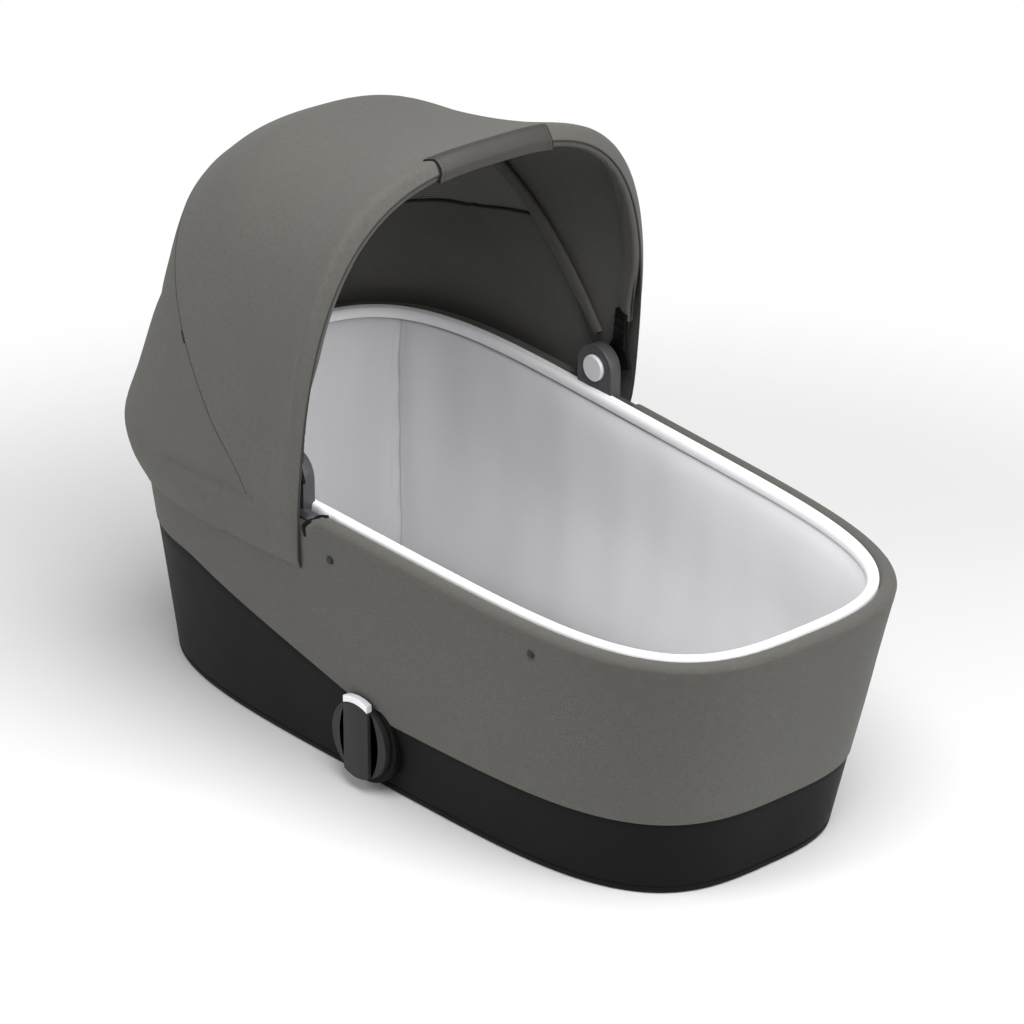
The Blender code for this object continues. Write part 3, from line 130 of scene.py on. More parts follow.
scene = bpy.context.scene
camera_data = bpy.data.cameras.new("camera")
camera_data.lens = CAMERA_LENS
camera_data.sensor_width = SENSOR_WIDTH
camera = bpy.data.objects.new("camera", camera_data)
scene.collection.objects.link(camera)
towards = Vector((sin(CAMERA_AZIMUTH) * cos(CAMERA_ELEVATION), -cos(CAMERA_AZIMUTH) * cos(CAMERA_ELEVATION),
                  sin(CAMERA_ELEVATION)))
camera.location = CAMERA_TARGET + towards * CAMERA_DISTANCE
camera.rotation_mode = "QUATERNION"
camera.rotation_quaternion = (-towards).to_track_quat("-Z", "Y")
scene.camera = camera
print("camera stands at", [round(value, 3) for value in camera.location])

# %% [markdown]
# ## A plain studio
# A soft white room: an even world that the camera sees as white, a broad lamp above, a softer one at the near
# side and a weak one at the foot end. The lamps stay at a level where a painted colour renders about as it is
# written.

# %% World and lamps
WORLD_LEVEL = 0.32
# Each lamp has its place, the point it is turned to, its width and its watts.
LAMPS = {"top lamp": ((1.1, -0.3, 2.45), (0.0, 0.0, 0.3), 2.2, 88.0),
         "side lamp": ((-1.0, -2.5, 1.5), (0.0, 0.0, 0.3), 1.8, 36.0),
         "foot lamp": ((2.7, 0.7, 1.05), (-0.2, 0.0, 0.3), 1.4, 22.0)}


def node(tree, kind, takes=(), **settings):
    """Add a node, set its options, and link or fill the inputs that takes lists."""
    made = tree.nodes.new(kind)
    for key, value in settings.items():
        setattr(made, key, value)
    for target, source in takes:
        if hasattr(source, "links"):
            tree.links.new(source, made.inputs[target])
        else:
            made.inputs[target].default_value = source
    return made


def maths(tree, operation, *values):
    """The result of one sum on numbers or on the results of other nodes."""
    return node(tree, "ShaderNodeMath", enumerate(values), operation=operation).outputs[0]


def mapped(tree, value, low, high, to_low=0.0, to_high=1.0, **settings):
    """A value between low and high, moved to lie between two other values."""
    takes = [("Value", value), ("From Min", low), ("From Max", high), ("To Min", to_low), ("To Max", to_high)]
    return node(tree, "ShaderNodeMapRange", takes, **settings).outputs["Result"]


scene.view_settings.view_transform = "Standard"
world = bpy.data.worlds.new("white room")
world.use_nodes = True
scene.world = world
room = world.node_tree
room.nodes.clear()
ray = node(room, "ShaderNodeLightPath").outputs
seen = maths(room, "MAXIMUM", ray["Is Camera Ray"], ray["Is Transmission Ray"])
glow = node(room, "ShaderNodeBackground",
            [("Color", (1.0, 1.0, 1.0, 1.0)), ("Strength", mapped(room, seen, 0.0, 1.0, WORLD_LEVEL))])
node(room, "ShaderNodeOutputWorld", [("Surface", glow.outputs["Background"])])


def area_lamp(name, place, aim, size, watts):
    """A square soft lamp at a place, turned to a point."""
    data = bpy.data.lights.new(name, "AREA")
    data.size = size
    data.energy = watts
    lamp = bpy.data.objects.new(name, data)
    scene.collection.objects.link(lamp)
    lamp.location = place
    lamp.rotation_mode = "QUATERNION"
    lamp.rotation_quaternion = (Vector(aim) - Vector(place)).to_track_quat("-Z", "Y")


for name, (place, aim, size, watts) in LAMPS.items():
    area_lamp(name, place, aim, size, watts)
    print(name, watts, "W")

# %% [markdown]
# ### The floor
# A wide white floor takes the shadow. It fades out away from the object, so that it has no edge.

# %% Floor
FLOOR_REACH, FLOOR_TONE = 30.0, 0.76
FADE_STARTS, FADE_ENDS = 0.75, 1.3

floor_mesh = bpy.data.meshes.new("floor")
corners = [(x * FLOOR_REACH, y * FLOOR_REACH, 0.0) for x, y in ((-1, -1), (1, -1), (1, 1), (-1, 1))]
floor_mesh.from_pydata(corners, [], [(0, 1, 2, 3)])
floor = bpy.data.objects.new("floor", floor_mesh)
scene.collection.objects.link(floor)
floor_paint = bpy.data.materials.new("white floor")
floor_paint.use_nodes = True
paint = floor_paint.node_tree
here = node(paint, "ShaderNodeTexCoord").outputs["Object"]
away = node(paint, "ShaderNodeVectorMath", [(0, here)], operation="LENGTH").outputs["Value"]
shown = mapped(paint, away, FADE_STARTS, FADE_ENDS, 1.0, 0.0, interpolation_type="SMOOTHSTEP")
floor_look = paint.nodes["Principled BSDF"].inputs
floor_look["Base Color"].default_value = (FLOOR_TONE, FLOOR_TONE, FLOOR_TONE, 1.0)
floor_look["Roughness"].default_value = 0.9
floor_look["Specular IOR Level"].default_value = 0.1
paint.links.new(shown, floor_look["Alpha"])
floor_mesh.materials.append(floor_paint)
floor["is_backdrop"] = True
print("floor shows up to", FADE_ENDS, "m from the middle, world level", WORLD_LEVEL)

# %% [markdown]
# ## Shader groups
# Real cloth isn't one flat colour: its threads catch light differently, and the dye varies a little. Plastic
# has a fine spark-eroded grain. Each effect is a node group with named inputs, so that every material places
# the same group with its own sizes. Every group takes a place and gives a colour, a height and a roughness.

# %% Helpers for node groups
MID_GREY = (0.5, 0.5, 0.5, 1.0)


def linear(red, green, blue):
    """Display values from 0 to 255 as a linear colour."""
    return tuple(((value / 255.0 + 0.055) / 1.055) ** 2.4 if value > 10 else value / 255.0 / 12.92
                 for value in (red, green, blue)) + (1.0,)


def new_group(name, values):
    """A shader group with a place and named values as its inputs. Gives the group and these inputs."""
    tree = bpy.data.node_groups.new(name, "ShaderNodeTree")
    tree.interface.new_socket(name="Vector", in_out="INPUT", socket_type="NodeSocketVector")
    for label, value in values.items():
        kind = "NodeSocketColor" if isinstance(value, tuple) else "NodeSocketFloat"
        tree.interface.new_socket(name=label, in_out="INPUT", socket_type=kind).default_value = value
    for label, kind in (("Color", "Color"), ("Height", "Float"), ("Roughness", "Float")):
        tree.interface.new_socket(name=label, in_out="OUTPUT", socket_type="NodeSocket" + kind)
    return tree, tree.nodes.new("NodeGroupInput").outputs


def closed_group(tree, colour, height, roughness):
    """Send a group's three results to its output."""
    node(tree, "NodeGroupOutput", [("Color", colour), ("Height", height), ("Roughness", roughness)])
    return tree


def times(tree, vector, factor):
    """A place or a colour, times a number."""
    return node(tree, "ShaderNodeVectorMath", [(0, vector), ("Scale", factor)], operation="SCALE").outputs[0]


def clouds(tree, place, scale, detail):
    """A soft noise from 0 to 1."""
    return node(tree, "ShaderNodeTexNoise",
                [("Vector", place), ("Scale", scale), ("Detail", detail)]).outputs["Fac"]


print("display value 188 is", round(linear(188, 188, 188)[0], 3), "as a linear value")

# %% [markdown]
# ### Weave
# A plain weave is two sets of threads that pass over and under each other. Here two stretched noises give the
# uneven threads in both directions, and a fine checker of sine waves gives the over-and-under relief. The
# pattern follows a UV map in metres, so that it turns with the cloth over every curve.

# %% Weave group
THREAD_STRETCH = 0.12


def make_weave_group():
    """Uneven threads in both directions, a slow change of the dye and the relief of a plain weave."""
    tree, takes = new_group("weave", {"Color": MID_GREY, "Thread": 1.0 * MM, "Contrast": 0.15,
                                      "Dye Size": 0.05, "Dye Change": 0.05})
    scaled = times(tree, takes["Vector"], maths(tree, "DIVIDE", 1.0, takes["Thread"]))
    threads = []
    for stretch in ((THREAD_STRETCH, 1.0, 1.0), (1.0, THREAD_STRETCH, 1.0)):
        long = node(tree, "ShaderNodeVectorMath", [(0, scaled), (1, stretch)], operation="MULTIPLY")
        threads.append(clouds(tree, long.outputs[0], 1.0, 2.0))
    both = maths(tree, "ADD", *threads)
    dye = clouds(tree, takes["Vector"], maths(tree, "DIVIDE", 1.0, takes["Dye Size"]), 3.0)
    uneven = maths(tree, "MULTIPLY", maths(tree, "SUBTRACT", both, 1.0), takes["Contrast"])
    dyed = maths(tree, "MULTIPLY", maths(tree, "SUBTRACT", dye, 0.5), takes["Dye Change"])
    bright = maths(tree, "ADD", maths(tree, "ADD", uneven, dyed), 1.0)
    parts = node(tree, "ShaderNodeSeparateXYZ", [(0, scaled)]).outputs
    waves = [maths(tree, "SINE", maths(tree, "MULTIPLY", parts[axis], pi)) for axis in (0, 1)]
    relief = maths(tree, "MULTIPLY_ADD", maths(tree, "MULTIPLY", *waves), 0.5, both)
    rough = mapped(tree, both, 0.6, 1.4, 0.95, 0.82)
    return closed_group(tree, times(tree, takes["Color"], bright), relief, rough)


WEAVE = make_weave_group()
print("weave group with inputs", [item.name for item in WEAVE.interface.items_tree if item.in_out == "INPUT"])

# %% [markdown]
# ### Grain
# Moulded plastic and leatherette share one idea: cells of a small size that are a little raised. The group
# gives their height, a slightly changing roughness and a colour that is a little paler on the raised cells.

# %% Grain group


def make_grain_group():
    """Small raised cells, a little paler than the gaps between them, with a slowly changing roughness."""
    tree, takes = new_group("grain", {"Color": MID_GREY, "Cell": 0.8 * MM, "Contrast": 0.1,
                                      "Roughness": 0.5, "Roughness Change": 0.1})
    cells = node(tree, "ShaderNodeTexVoronoi",
                 [("Vector", takes["Vector"]), ("Scale", maths(tree, "DIVIDE", 1.0, takes["Cell"]))])
    raised = maths(tree, "SUBTRACT", 0.5, cells.outputs["Distance"])
    bright = maths(tree, "MULTIPLY_ADD", raised, takes["Contrast"], 1.0)
    smudge = maths(tree, "SUBTRACT", clouds(tree, takes["Vector"], 22.0, 4.0), 0.5)
    rough = maths(tree, "MULTIPLY_ADD", smudge, takes["Roughness Change"], takes["Roughness"])
    return closed_group(tree, times(tree, takes["Color"], bright), raised, rough)


GRAIN = make_grain_group()
print("grain group ready")

# %% [markdown]
# ### Net
# A fine net is a lattice of small dark holes. Two crossed waves give the lattice, and a soft threshold turns
# them into holes with a chosen pitch.

# %% Net group


def make_net_group():
    """Dark holes at the crests of two crossed waves, lower and a little smoother than the threads."""
    tree, takes = new_group("net", {"Color": MID_GREY, "Hole Color": (0.02, 0.02, 0.02, 1.0),
                                    "Pitch": 3.0 * MM})
    scaled = times(tree, takes["Vector"], maths(tree, "DIVIDE", 2 * pi, takes["Pitch"]))
    parts = node(tree, "ShaderNodeSeparateXYZ", [(0, scaled)]).outputs
    lattice = maths(tree, "MULTIPLY", *[maths(tree, "COSINE", parts[axis]) for axis in (0, 1)])
    hole = mapped(tree, lattice, 0.1, 0.55)
    mixed = node(tree, "ShaderNodeMix",
                 [("Factor", hole), ("A", takes["Color"]), ("B", takes["Hole Color"])], data_type="RGBA")
    down = maths(tree, "SUBTRACT", 1.0, hole)
    rough = maths(tree, "MULTIPLY_ADD", down, 0.05, 0.8)
    return closed_group(tree, mixed.outputs["Result"], down, rough)


NET = make_net_group()
print("net group ready")

# %% [markdown]
# ### Finishes
# Every finish is a Principled material: a group works out its colour, roughness and relief, and constants
# such as sheen are set on the shader itself. Cloth reads its UV map in metres, hard pieces read their own
# object coordinates.

# %% Finishes


def fill_material(name, group, values, bump, depth, sheen=0.0, specular=0.5, metallic=0.0):
    """A Principled material whose colour, roughness and relief come from a group."""
    made = bpy.data.materials.new(name)
    made.use_nodes = True
    tree = made.node_tree
    if group == GRAIN:
        place = node(tree, "ShaderNodeTexCoord").outputs["Object"]
    else:
        place = node(tree, "ShaderNodeUVMap", uv_map="cloth").outputs["UV"]
    effect = node(tree, "ShaderNodeGroup", [("Vector", place), *values.items()], node_tree=group).outputs
    relief = node(tree, "ShaderNodeBump",
                  [("Strength", bump), ("Distance", depth), ("Height", effect["Height"])])
    shader = tree.nodes["Principled BSDF"].inputs
    tree.links.new(effect["Color"], shader["Base Color"])
    tree.links.new(effect["Roughness"], shader["Roughness"])
    tree.links.new(relief.outputs["Normal"], shader["Normal"])
    shader["Sheen Weight"].default_value = sheen
    shader["Sheen Roughness"].default_value = 0.5
    shader["Specular IOR Level"].default_value = specular
    shader["Metallic"].default_value = metallic
    return made


def cloth(name, colour, thread=1.1 * MM, contrast=0.35, dye=0.08, bump=0.35):
    """A woven finish from a display colour and the width of its threads."""
    values = {"Color": linear(*colour), "Thread": thread, "Contrast": contrast, "Dye Size": 0.06,
              "Dye Change": dye}
    return fill_material(name, WEAVE, values, bump, 0.3 * MM, sheen=0.1, specular=0.25)


def plastic(name, colour, roughness, cell=0.7 * MM, bump=0.12, specular=0.5, metallic=0.0, contrast=0.08):
    """A grained finish for plastic, leatherette, board and metal, from a display colour."""
    values = {"Color": linear(*colour), "Cell": cell, "Contrast": contrast, "Roughness": roughness,
              "Roughness Change": 0.12}
    return fill_material(name, GRAIN, values, bump, 0.1 * MM, specular=specular, metallic=metallic)


HOOD_CLOTH = cloth("hood cloth", (89, 88, 84))
TUB_CLOTH = cloth("tub cloth", (86, 85, 81))
HOOD_LINING = cloth("hood lining", (86, 85, 80), contrast=0.2)
SLEEVE_CLOTH = cloth("sleeve cloth", (84, 83, 79), contrast=0.2)
TAPE_CLOTH = cloth("edge tape", (52, 51, 49), thread=0.8 * MM)
# A near-black cloth for painted shadow: in the folds of the hood's seam and along the grip's cut ends.
PAINTED_SHADOW_CLOTH = cloth("shadow in a fold", (14, 14, 13), thread=0.8 * MM)
LINER_CLOTH = cloth("liner cloth", (219, 219, 221), thread=0.7 * MM, contrast=0.06, dye=0.03, bump=0.15)
BAND_CLOTH = cloth("rim band cloth", (243, 243, 245), thread=0.7 * MM, contrast=0.05, dye=0.02, bump=0.12)
MATTRESS_CLOTH = cloth("mattress cloth", (214, 214, 216), thread=1.2 * MM, contrast=0.1, dye=0.03)
GREY_THREAD = cloth("grey thread", (92, 91, 87), thread=0.3 * MM, contrast=0.3)
# Real thread in a grey well below the white cloths: the grey is painted shade in the grooves it lies in, at
# the liner's seams and the band's lines.
GROOVE_SHADE_THREAD = cloth("white thread greyed for groove shade", (190, 190, 192), thread=0.3 * MM, contrast=0.2)
NET_CLOTH = fill_material("net cloth", NET, {"Color": linear(122, 121, 117), "Hole Color": linear(46, 46, 44),
                                             "Pitch": 3.6 * MM}, 0.5, 0.4 * MM, specular=0.3)
LEATHERETTE = plastic("leatherette", (61, 57, 54), 0.5, cell=1.3 * MM, bump=0.5, contrast=0.25)
BLACK_PLASTIC = plastic("black plastic", (15, 15, 15), 0.55, specular=0.1)
GREY_PLASTIC = plastic("grey plastic", (66, 66, 68), 0.42)
DARK_PLASTIC = plastic("dark plastic", (40, 40, 40), 0.5, specular=0.25)
SILVER_PLASTIC = plastic("silver paint", (224, 225, 227), 0.36, cell=0.25 * MM, bump=0.04)
WHITE_PLASTIC = plastic("white plastic", (236, 236, 238), 0.35, bump=0.04)
STEEL = plastic("steel", (166, 166, 168), 0.3, cell=0.4 * MM, bump=0.05, metallic=1.0)
BOARD = plastic("board", (186, 184, 178), 0.8)
print(len(bpy.data.materials), "materials")

# %% [markdown]
# ## The wall's surface
# The walls are ruled: straight lines join an outline on the floor to the outline of the rim. The same two
# outlines, in the same named sizes as the CAD source, are worked out here at four times as many places, so
# that cloth made on them is smooth and still lies on the CAD's layers.

# %% Sizes of the walls
STEPS = 56
FINE_STEPS = 480
TURN_WEIGHT = 160.0 * MM
RIM_HEAD_X, RIM_FOOT_X = -416.5 * MM, 447.5 * MM
RIM_HALF_HEAD, RIM_HALF_FOOT = 236.0 * MM, 205.5 * MM
RIM_HEIGHT_HEAD, RIM_HEIGHT_FOOT = 328.5 * MM, 271.0 * MM
BASE_HEAD_X, BASE_FOOT_X = -438.0 * MM, 386.5 * MM
BASE_HALF_HEAD, BASE_HALF_FOOT = 167.0 * MM, 175.0 * MM
RIM_CURVE = 1.15
RAMP_FOOT_X, RAMP_RUN, RAMP_EASE = 40.0 * MM, -332.0 * MM, 0.12
TRAY_LOW, TRAY_HIGH, TRAY_FLOOR = 85.0 * MM, 172.0 * MM, 3.5 * MM
FLOOR_BOARD = 5.0 * MM
ROLL_RADIUS = 8.5 * MM
SKIN = 1.5 * MM
GAP = 0.35 * MM
print("rim from", RIM_HEAD_X, "to", RIM_FOOT_X, "m, base from", BASE_HEAD_X, "to", BASE_FOOT_X, "m")

# %% [markdown]
# ### Outlines
# The far side of an outline is made of two rounded quarters, one to the foot and one to the head, and the
# near side is its mirror. The points lie closer where the line turns, so that the corners stay round.

# %% Outlines of base and rim


def between(a, b, share):
    """The value or point a share of the way from a to b."""
    return a + (b - a) * share


def eased(share):
    """A share kept from 0 to 1, with a soft start and a soft end."""
    share = min(max(share, 0.0), 1.0)
    return share * share * (3 - 2 * share)


def spaced(points, measure, steps):
    """Pick steps + 1 points at even spaces of a running measure."""
    picked, k = [], 0
    for step in range(steps + 1):
        target = measure[-1] * step / steps
        while k < len(measure) - 2 and measure[k + 1] < target:
            k += 1
        part = (target - measure[k]) / max(measure[k + 1] - measure[k], 1e-12)
        picked.append(tuple(between(a, b, part) for a, b in zip(points[k], points[k + 1])))
    return picked


def quarter(length, width, powers):
    """A quarter of a rounded outline, with closer points where it turns more."""
    fine = []
    for k in range(FINE_STEPS + 1):
        angle = pi / 2 * k / FINE_STEPS
        fine.append((max(cos(angle), 0.0) ** (2 / powers[0]), sin(angle) ** (2 / powers[1])))
    measure, heading = [0.0], None
    for (x0, y0), (x1, y1) in zip(fine[:-1], fine[1:]):
        dx, dy = (x1 - x0) * length, (y1 - y0) * width
        turn = 0.0 if heading is None else abs(atan2(dy, dx) - heading)
        heading = atan2(dy, dx)
        measure.append(measure[-1] + hypot(dx, dy) + turn * TURN_WEIGHT)
    return spaced(fine, measure, STEPS)


def outline(head_x, foot_x, half_head, half_foot, powers_head, powers_foot):
    """An outline seen from above, from the foot end round the far side, the head and the near side."""
    def half_width(x):
        """Half of the outline's width at a place along it, before its ends are rounded."""
        return between(half_head, half_foot, (x - head_x) / (foot_x - head_x))
    foot = quarter(foot_x, half_width(0.0), powers_foot)
    head = quarter(-head_x, half_width(0.0), powers_head)
    far = [(foot_x * u, v) for u, v in foot] + [(head_x * u, v) for u, v in reversed(head[:-1])]
    far = [Vector((x, half_width(x) * v, 0.0)) for x, v in far]
    return far + [Vector((p.x, -p.y, 0.0)) for p in reversed(far[1:-1])]


BASE_LINE = outline(BASE_HEAD_X, BASE_FOOT_X, BASE_HALF_HEAD, BASE_HALF_FOOT, (4.1, 3.0), (4.3, 3.1))
RIM_LINE = outline(RIM_HEAD_X, RIM_FOOT_X, RIM_HALF_HEAD, RIM_HALF_FOOT, (4.6, 3.4), (5.0, 3.0))
STATIONS = len(RIM_LINE)
print(STATIONS, "stations round the wall")

# %% [markdown]
# ### Heights, and places on the wall
# The rim rises to the head, and the tray's edge climbs in a ramp. Each station has a straight line from the
# base to the rim and a direction inwards, from which a ring at any heights is found.

# %% Heights and rings


def rim_height(x):
    """Height of the rim, which rises towards the head in a slight curve."""
    share = max((RIM_FOOT_X - x) / (RIM_FOOT_X - RIM_HEAD_X), 0.0)
    return between(RIM_HEIGHT_FOOT, RIM_HEIGHT_HEAD, share ** RIM_CURVE)


def tray_edge(x):
    """Height of the tray's top edge: low at the foot, a ramp up to the head."""
    share = min(max((x - RAMP_FOOT_X) / RAMP_RUN, 0.0), 1.0)
    if share < RAMP_EASE:
        rise = share ** 2 / (2 * RAMP_EASE)
    elif share > 1 - RAMP_EASE:
        rise = 1 - RAMP_EASE - (1 - share) ** 2 / (2 * RAMP_EASE)
    else:
        rise = share - RAMP_EASE / 2
    return between(TRAY_LOW, TRAY_HIGH, rise / (1 - RAMP_EASE))


RIM_Z = [rim_height(point.x) for point in RIM_LINE]
EDGE_SHARE = TRAY_HIGH / RIM_HEIGHT_HEAD
TRAY_EDGE = [tray_edge(between(low.x, high.x, EDGE_SHARE)) for low, high in zip(BASE_LINE, RIM_LINE)]
INWARD = []
for i in range(STATIONS):
    total = Vector((0.0, 0.0, 0.0))
    for line in (BASE_LINE, RIM_LINE):
        along = line[(i + 1) % STATIONS] - line[i - 1]
        total += Vector((-along.y, along.x, 0.0)).normalized()
    INWARD.append(total.normalized())


def moved_in(points, inset, lift=0.0):
    """One point for each station, moved inwards and up."""
    return [point + inward * inset + Vector((0.0, 0.0, lift)) for point, inward in zip(points, INWARD)]


def ring(heights, inset=0.0):
    """A ring on the wall's surface at one height for each station."""
    points = [Vector((*between(low, high, z / top).xy, z))
              for low, high, top, z in zip(BASE_LINE, RIM_LINE, RIM_Z, heights)]
    return moved_in(points, inset)


def wall_y(x, z):
    """Half-width of the wall's surface at a place along it."""
    points = ring([z] * STATIONS)
    for a, b in zip(points[:STATIONS // 2], points[1:STATIONS // 2 + 1]):
        if b.x <= x <= a.x:
            return between(a.y, b.y, (x - a.x) / (b.x - a.x))
    return points[0].y


HOOP_LINE = ring([z - ROLL_RADIUS for z in RIM_Z], ROLL_RADIUS)
print("half-width at the middle of the rim:", round(wall_y(0.0, rim_height(0.0)), 4), "m")

# %% [markdown]
# ## Cloth as grids
# Each cloth piece starts as a grid of points: rows across and columns along. One helper turns a grid into a
# thin closed shell with an inner side, gives it a UV map in metres and keeps the grid's own normals, so that
# two pieces cut from one grid show no step in their shading where they meet.

# %% Grid to cloth


def grid_normals(grid, closed):
    """Normals of a grid of points, outwards where rows run up and columns run to the right."""
    rows, count = len(grid), len(grid[0])
    normals = []
    for r in range(rows):
        line = []
        for c in range(count):
            left = grid[r][c - 1] if c or closed else grid[r][0]
            right = grid[r][(c + 1) % count] if c + 1 < count or closed else grid[r][c]
            up = grid[min(r + 1, rows - 1)][c] - grid[max(r - 1, 0)][c]
            line.append((right - left).cross(up).normalized())
        normals.append(line)
    return normals


def add_piece(name, mesh, body=None, materials=()):
    """Link a mesh as an object, with its materials, and let it ride on a body."""
    made = bpy.data.objects.new(name, mesh)
    scene.collection.objects.link(made)
    for finish in materials:
        mesh.materials.append(finish)
    if body:
        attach(made, body)
    return made


def cloth_shell(name, grid, thickness, materials, closed=False, normals=None, flip=1, even=False):
    """A thin closed shell from a grid. Material 0 is the outside and the edges, the last one the inside.

    With even, the threads across run level with the middle column, for a piece that narrows.
    """
    normals = normals or grid_normals(grid, closed)
    rows, count = len(grid), len(grid[0])
    outer = [point for row in grid for point in row]
    turned = [vector * flip for row in normals for vector in row]
    inner = [point - vector * thickness for point, vector in zip(outer, turned)]
    total = len(outer)
    faces, marks = [], []
    width = count if closed else count - 1
    for r in range(rows - 1):
        for c in range(width):
            d = (c + 1) % count
            quad = (r * count + c, r * count + d, (r + 1) * count + d, (r + 1) * count + c)
            quad = quad[::flip]
            faces.append(quad)
            marks.append(0)
            faces.append(tuple(total + v for v in reversed(quad)))
            marks.append(len(materials) - 1)
    edge = [(c, (c + 1) % count) for c in range(width)]
    edge += [((rows - 1) * count + (c + 1) % count, (rows - 1) * count + c) for c in range(width)]
    if not closed:
        edge += [((r + 1) * count, r * count) for r in range(rows - 1)]
        edge += [(r * count + count - 1, (r + 1) * count + count - 1) for r in range(rows - 1)]
    for a, b in edge:
        quad = (b, a, total + a, total + b)
        faces.append(quad[::flip])
        marks.append(0)
    mesh = bpy.data.meshes.new(name)
    mesh.from_pydata(outer + inner, [], faces)
    mesh.polygons.foreach_set("material_index", marks)
    lengths_across = []
    for r in range(rows):
        run = [0.0]
        for c in range(1, count):
            run.append(run[-1] + (grid[r][c] - grid[r][c - 1]).length)
        middle = run[count // 2]
        lengths_across.append([value - middle for value in run])
    lengths_up = [[0.0] * count]
    for r in range(1, rows):
        lengths_up.append([lengths_up[-1][c] + (grid[r][c] - grid[r - 1][c]).length for c in range(count)])
    if even:
        lengths_up = [[line[count // 2]] * count for line in lengths_up]
    place = mesh.uv_layers.new(name="cloth")
    for polygon in mesh.polygons:
        for corner in polygon.loop_indices:
            index = mesh.loops[corner].vertex_index % total
            r, c = divmod(index, count)
            across = lengths_across[r][c]
            if closed and c == 0 and any(mesh.loops[k].vertex_index % total % count == count - 1
                                         for k in polygon.loop_indices):
                across = lengths_across[r][-1] + (grid[r][0] - grid[r][-1]).length
            place.data[corner].uv = (across, lengths_up[r][c])
    mesh.shade_smooth()
    mesh.normals_split_custom_set_from_vertices(turned + [-vector for vector in turned])
    made = add_piece(name, mesh, None, materials)
    print(name, len(mesh.polygons), "faces")
    return made


def soft_wave(point, size, height, seed=0.0):
    """A smooth, always equal wave for cloth that isn't quite flat."""
    return noise.noise(Vector((point.x / size + seed, point.y / size, point.z / size))) * height


print("cloth helpers ready")

# %% [markdown]
# ## The tub's cover
# The grey cover is stretched from the tray over the hoop and tucked in under the white band. It is one loft
# of rings: straight up the wall, half round the hoop, and a short tuck inside. Its roll dips a little round
# the foot of each hinge. Stretched cloth still carries faint waves, so each point of the wall moves by a
# fraction of a millimetre.

# %% Tub cover
COVER_ROWS, ROLL_STEPS = 14, 12
COVER_TUCK, COVER_WAVE_SIZE, COVER_WAVE = 6.0 * MM, 0.11, 0.7 * MM
HINGE_DIP, DIP_FADE_POWER = 10.0 * MM, 4
DIP_STARTS, DIP_FULL, DIP_TURNS, DIP_ENDS = -140.0 * MM, -112.0 * MM, -47.0 * MM, -27.0 * MM


def hinge_dip(x):
    """How far the cover's roll dips round a hinge's foot, at a place along the tub."""
    coming = eased((x - DIP_STARTS) / (DIP_FULL - DIP_STARTS))
    leaving = eased((DIP_ENDS - x) / (DIP_ENDS - DIP_TURNS))
    return HINGE_DIP * coming * leaving


def tub_cover_grid():
    """Rings of the cover from the tray's edge over the hoop to its tuck inside."""
    bottom = ring([z + GAP for z in TRAY_EDGE])
    top = moved_in(HOOP_LINE, -ROLL_RADIUS)
    grid = [[between(a, b, k / COVER_ROWS) for a, b in zip(bottom, top)] for k in range(COVER_ROWS)]
    for step in range(ROLL_STEPS + 1):
        angle = pi * step / ROLL_STEPS
        grid.append(moved_in(HOOP_LINE, -ROLL_RADIUS * cos(angle), ROLL_RADIUS * sin(angle)))
    grid.append(moved_in(HOOP_LINE, ROLL_RADIUS, -COVER_TUCK))
    for r, row in enumerate(grid):
        if 0 < r < COVER_ROWS:
            fullness = sin(pi * r / COVER_ROWS)
            for c, point in enumerate(row):
                row[c] = point - INWARD[c] * (soft_wave(point, COVER_WAVE_SIZE, COVER_WAVE) * fullness)
        share = min(r / COVER_ROWS, 1.0) ** DIP_FADE_POWER
        for point in row:
            point.z -= hinge_dip(point.x) * share
    return grid


COVER_GRID = tub_cover_grid()
cover = cloth_shell("tub_cover", COVER_GRID, SKIN, [TUB_CLOTH], closed=True)
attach(cover, "cot")
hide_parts("side_fabric")
perimeter = sum((a - b).length for a, b in zip(RIM_LINE, RIM_LINE[1:] + RIM_LINE[:1]))
print("cover is", round(perimeter, 3), "m round")

# %% [markdown]
# ## The hood's surface
# The hood is cloth over two bows. Its rows are the same lines as in the CAD source: the front edge, the roll
# of the visor, the middle bow, the rear seam and the bulge at the head. A spline through every row and every
# column then gives one smooth surface, from which all cloth pieces of the hood are cut.

# %% Hood rows
PIVOT_X = -82.0 * MM
HINGE_RIM_Z = rim_height(PIVOT_X)
PIVOT_Z = HINGE_RIM_Z + 24.25 * MM
HINGE_HALF = wall_y(PIVOT_X, HINGE_RIM_Z)
EDGE_BASE_X, EDGE_BASE_Z, EDGE_LEAN = -51.5 * MM, HINGE_RIM_Z - 3.75 * MM, radians(7)
EDGE_HALF, SHOULDER_HALF = HINGE_HALF + 3.2 * MM, HINGE_HALF + 7.0 * MM
EDGE_RISE, SHOULDER_RISE = 333.3 * MM, 339.9 * MM
EDGE_POWER, SHOULDER_POWER = 3.0, 3.385
SHOULDER_BEHIND = 22.0 * MM
VISOR_ROLL, VISOR_ROLL_SHARE = 7.2 * MM, 0.4
ROLL_AT_HINGE, ROLL_FADE = 0.3, 130.0 * MM
MID_BASE_X, MID_LEAN, MID_HALF = -57.5 * MM, radians(-31.9), HINGE_HALF + 1.5 * MM
MID_RISE, MID_POWER = 377.5 * MM, 2.576
MID_HEM_X, MID_KNEE_X = -105.0 * MM, -100.0 * MM
EDGE_HEM_X, SHOULDER_HEM_X = -66.5 * MM, -87.0 * MM
REAR_BASE_X, REAR_LEAN, REAR_HALF = -134.9 * MM, radians(-41.8), HINGE_HALF + 5.2 * MM
REAR_RISE, REAR_POWER, REAR_HEM_X = 345.2 * MM, 2.375, -146.0 * MM
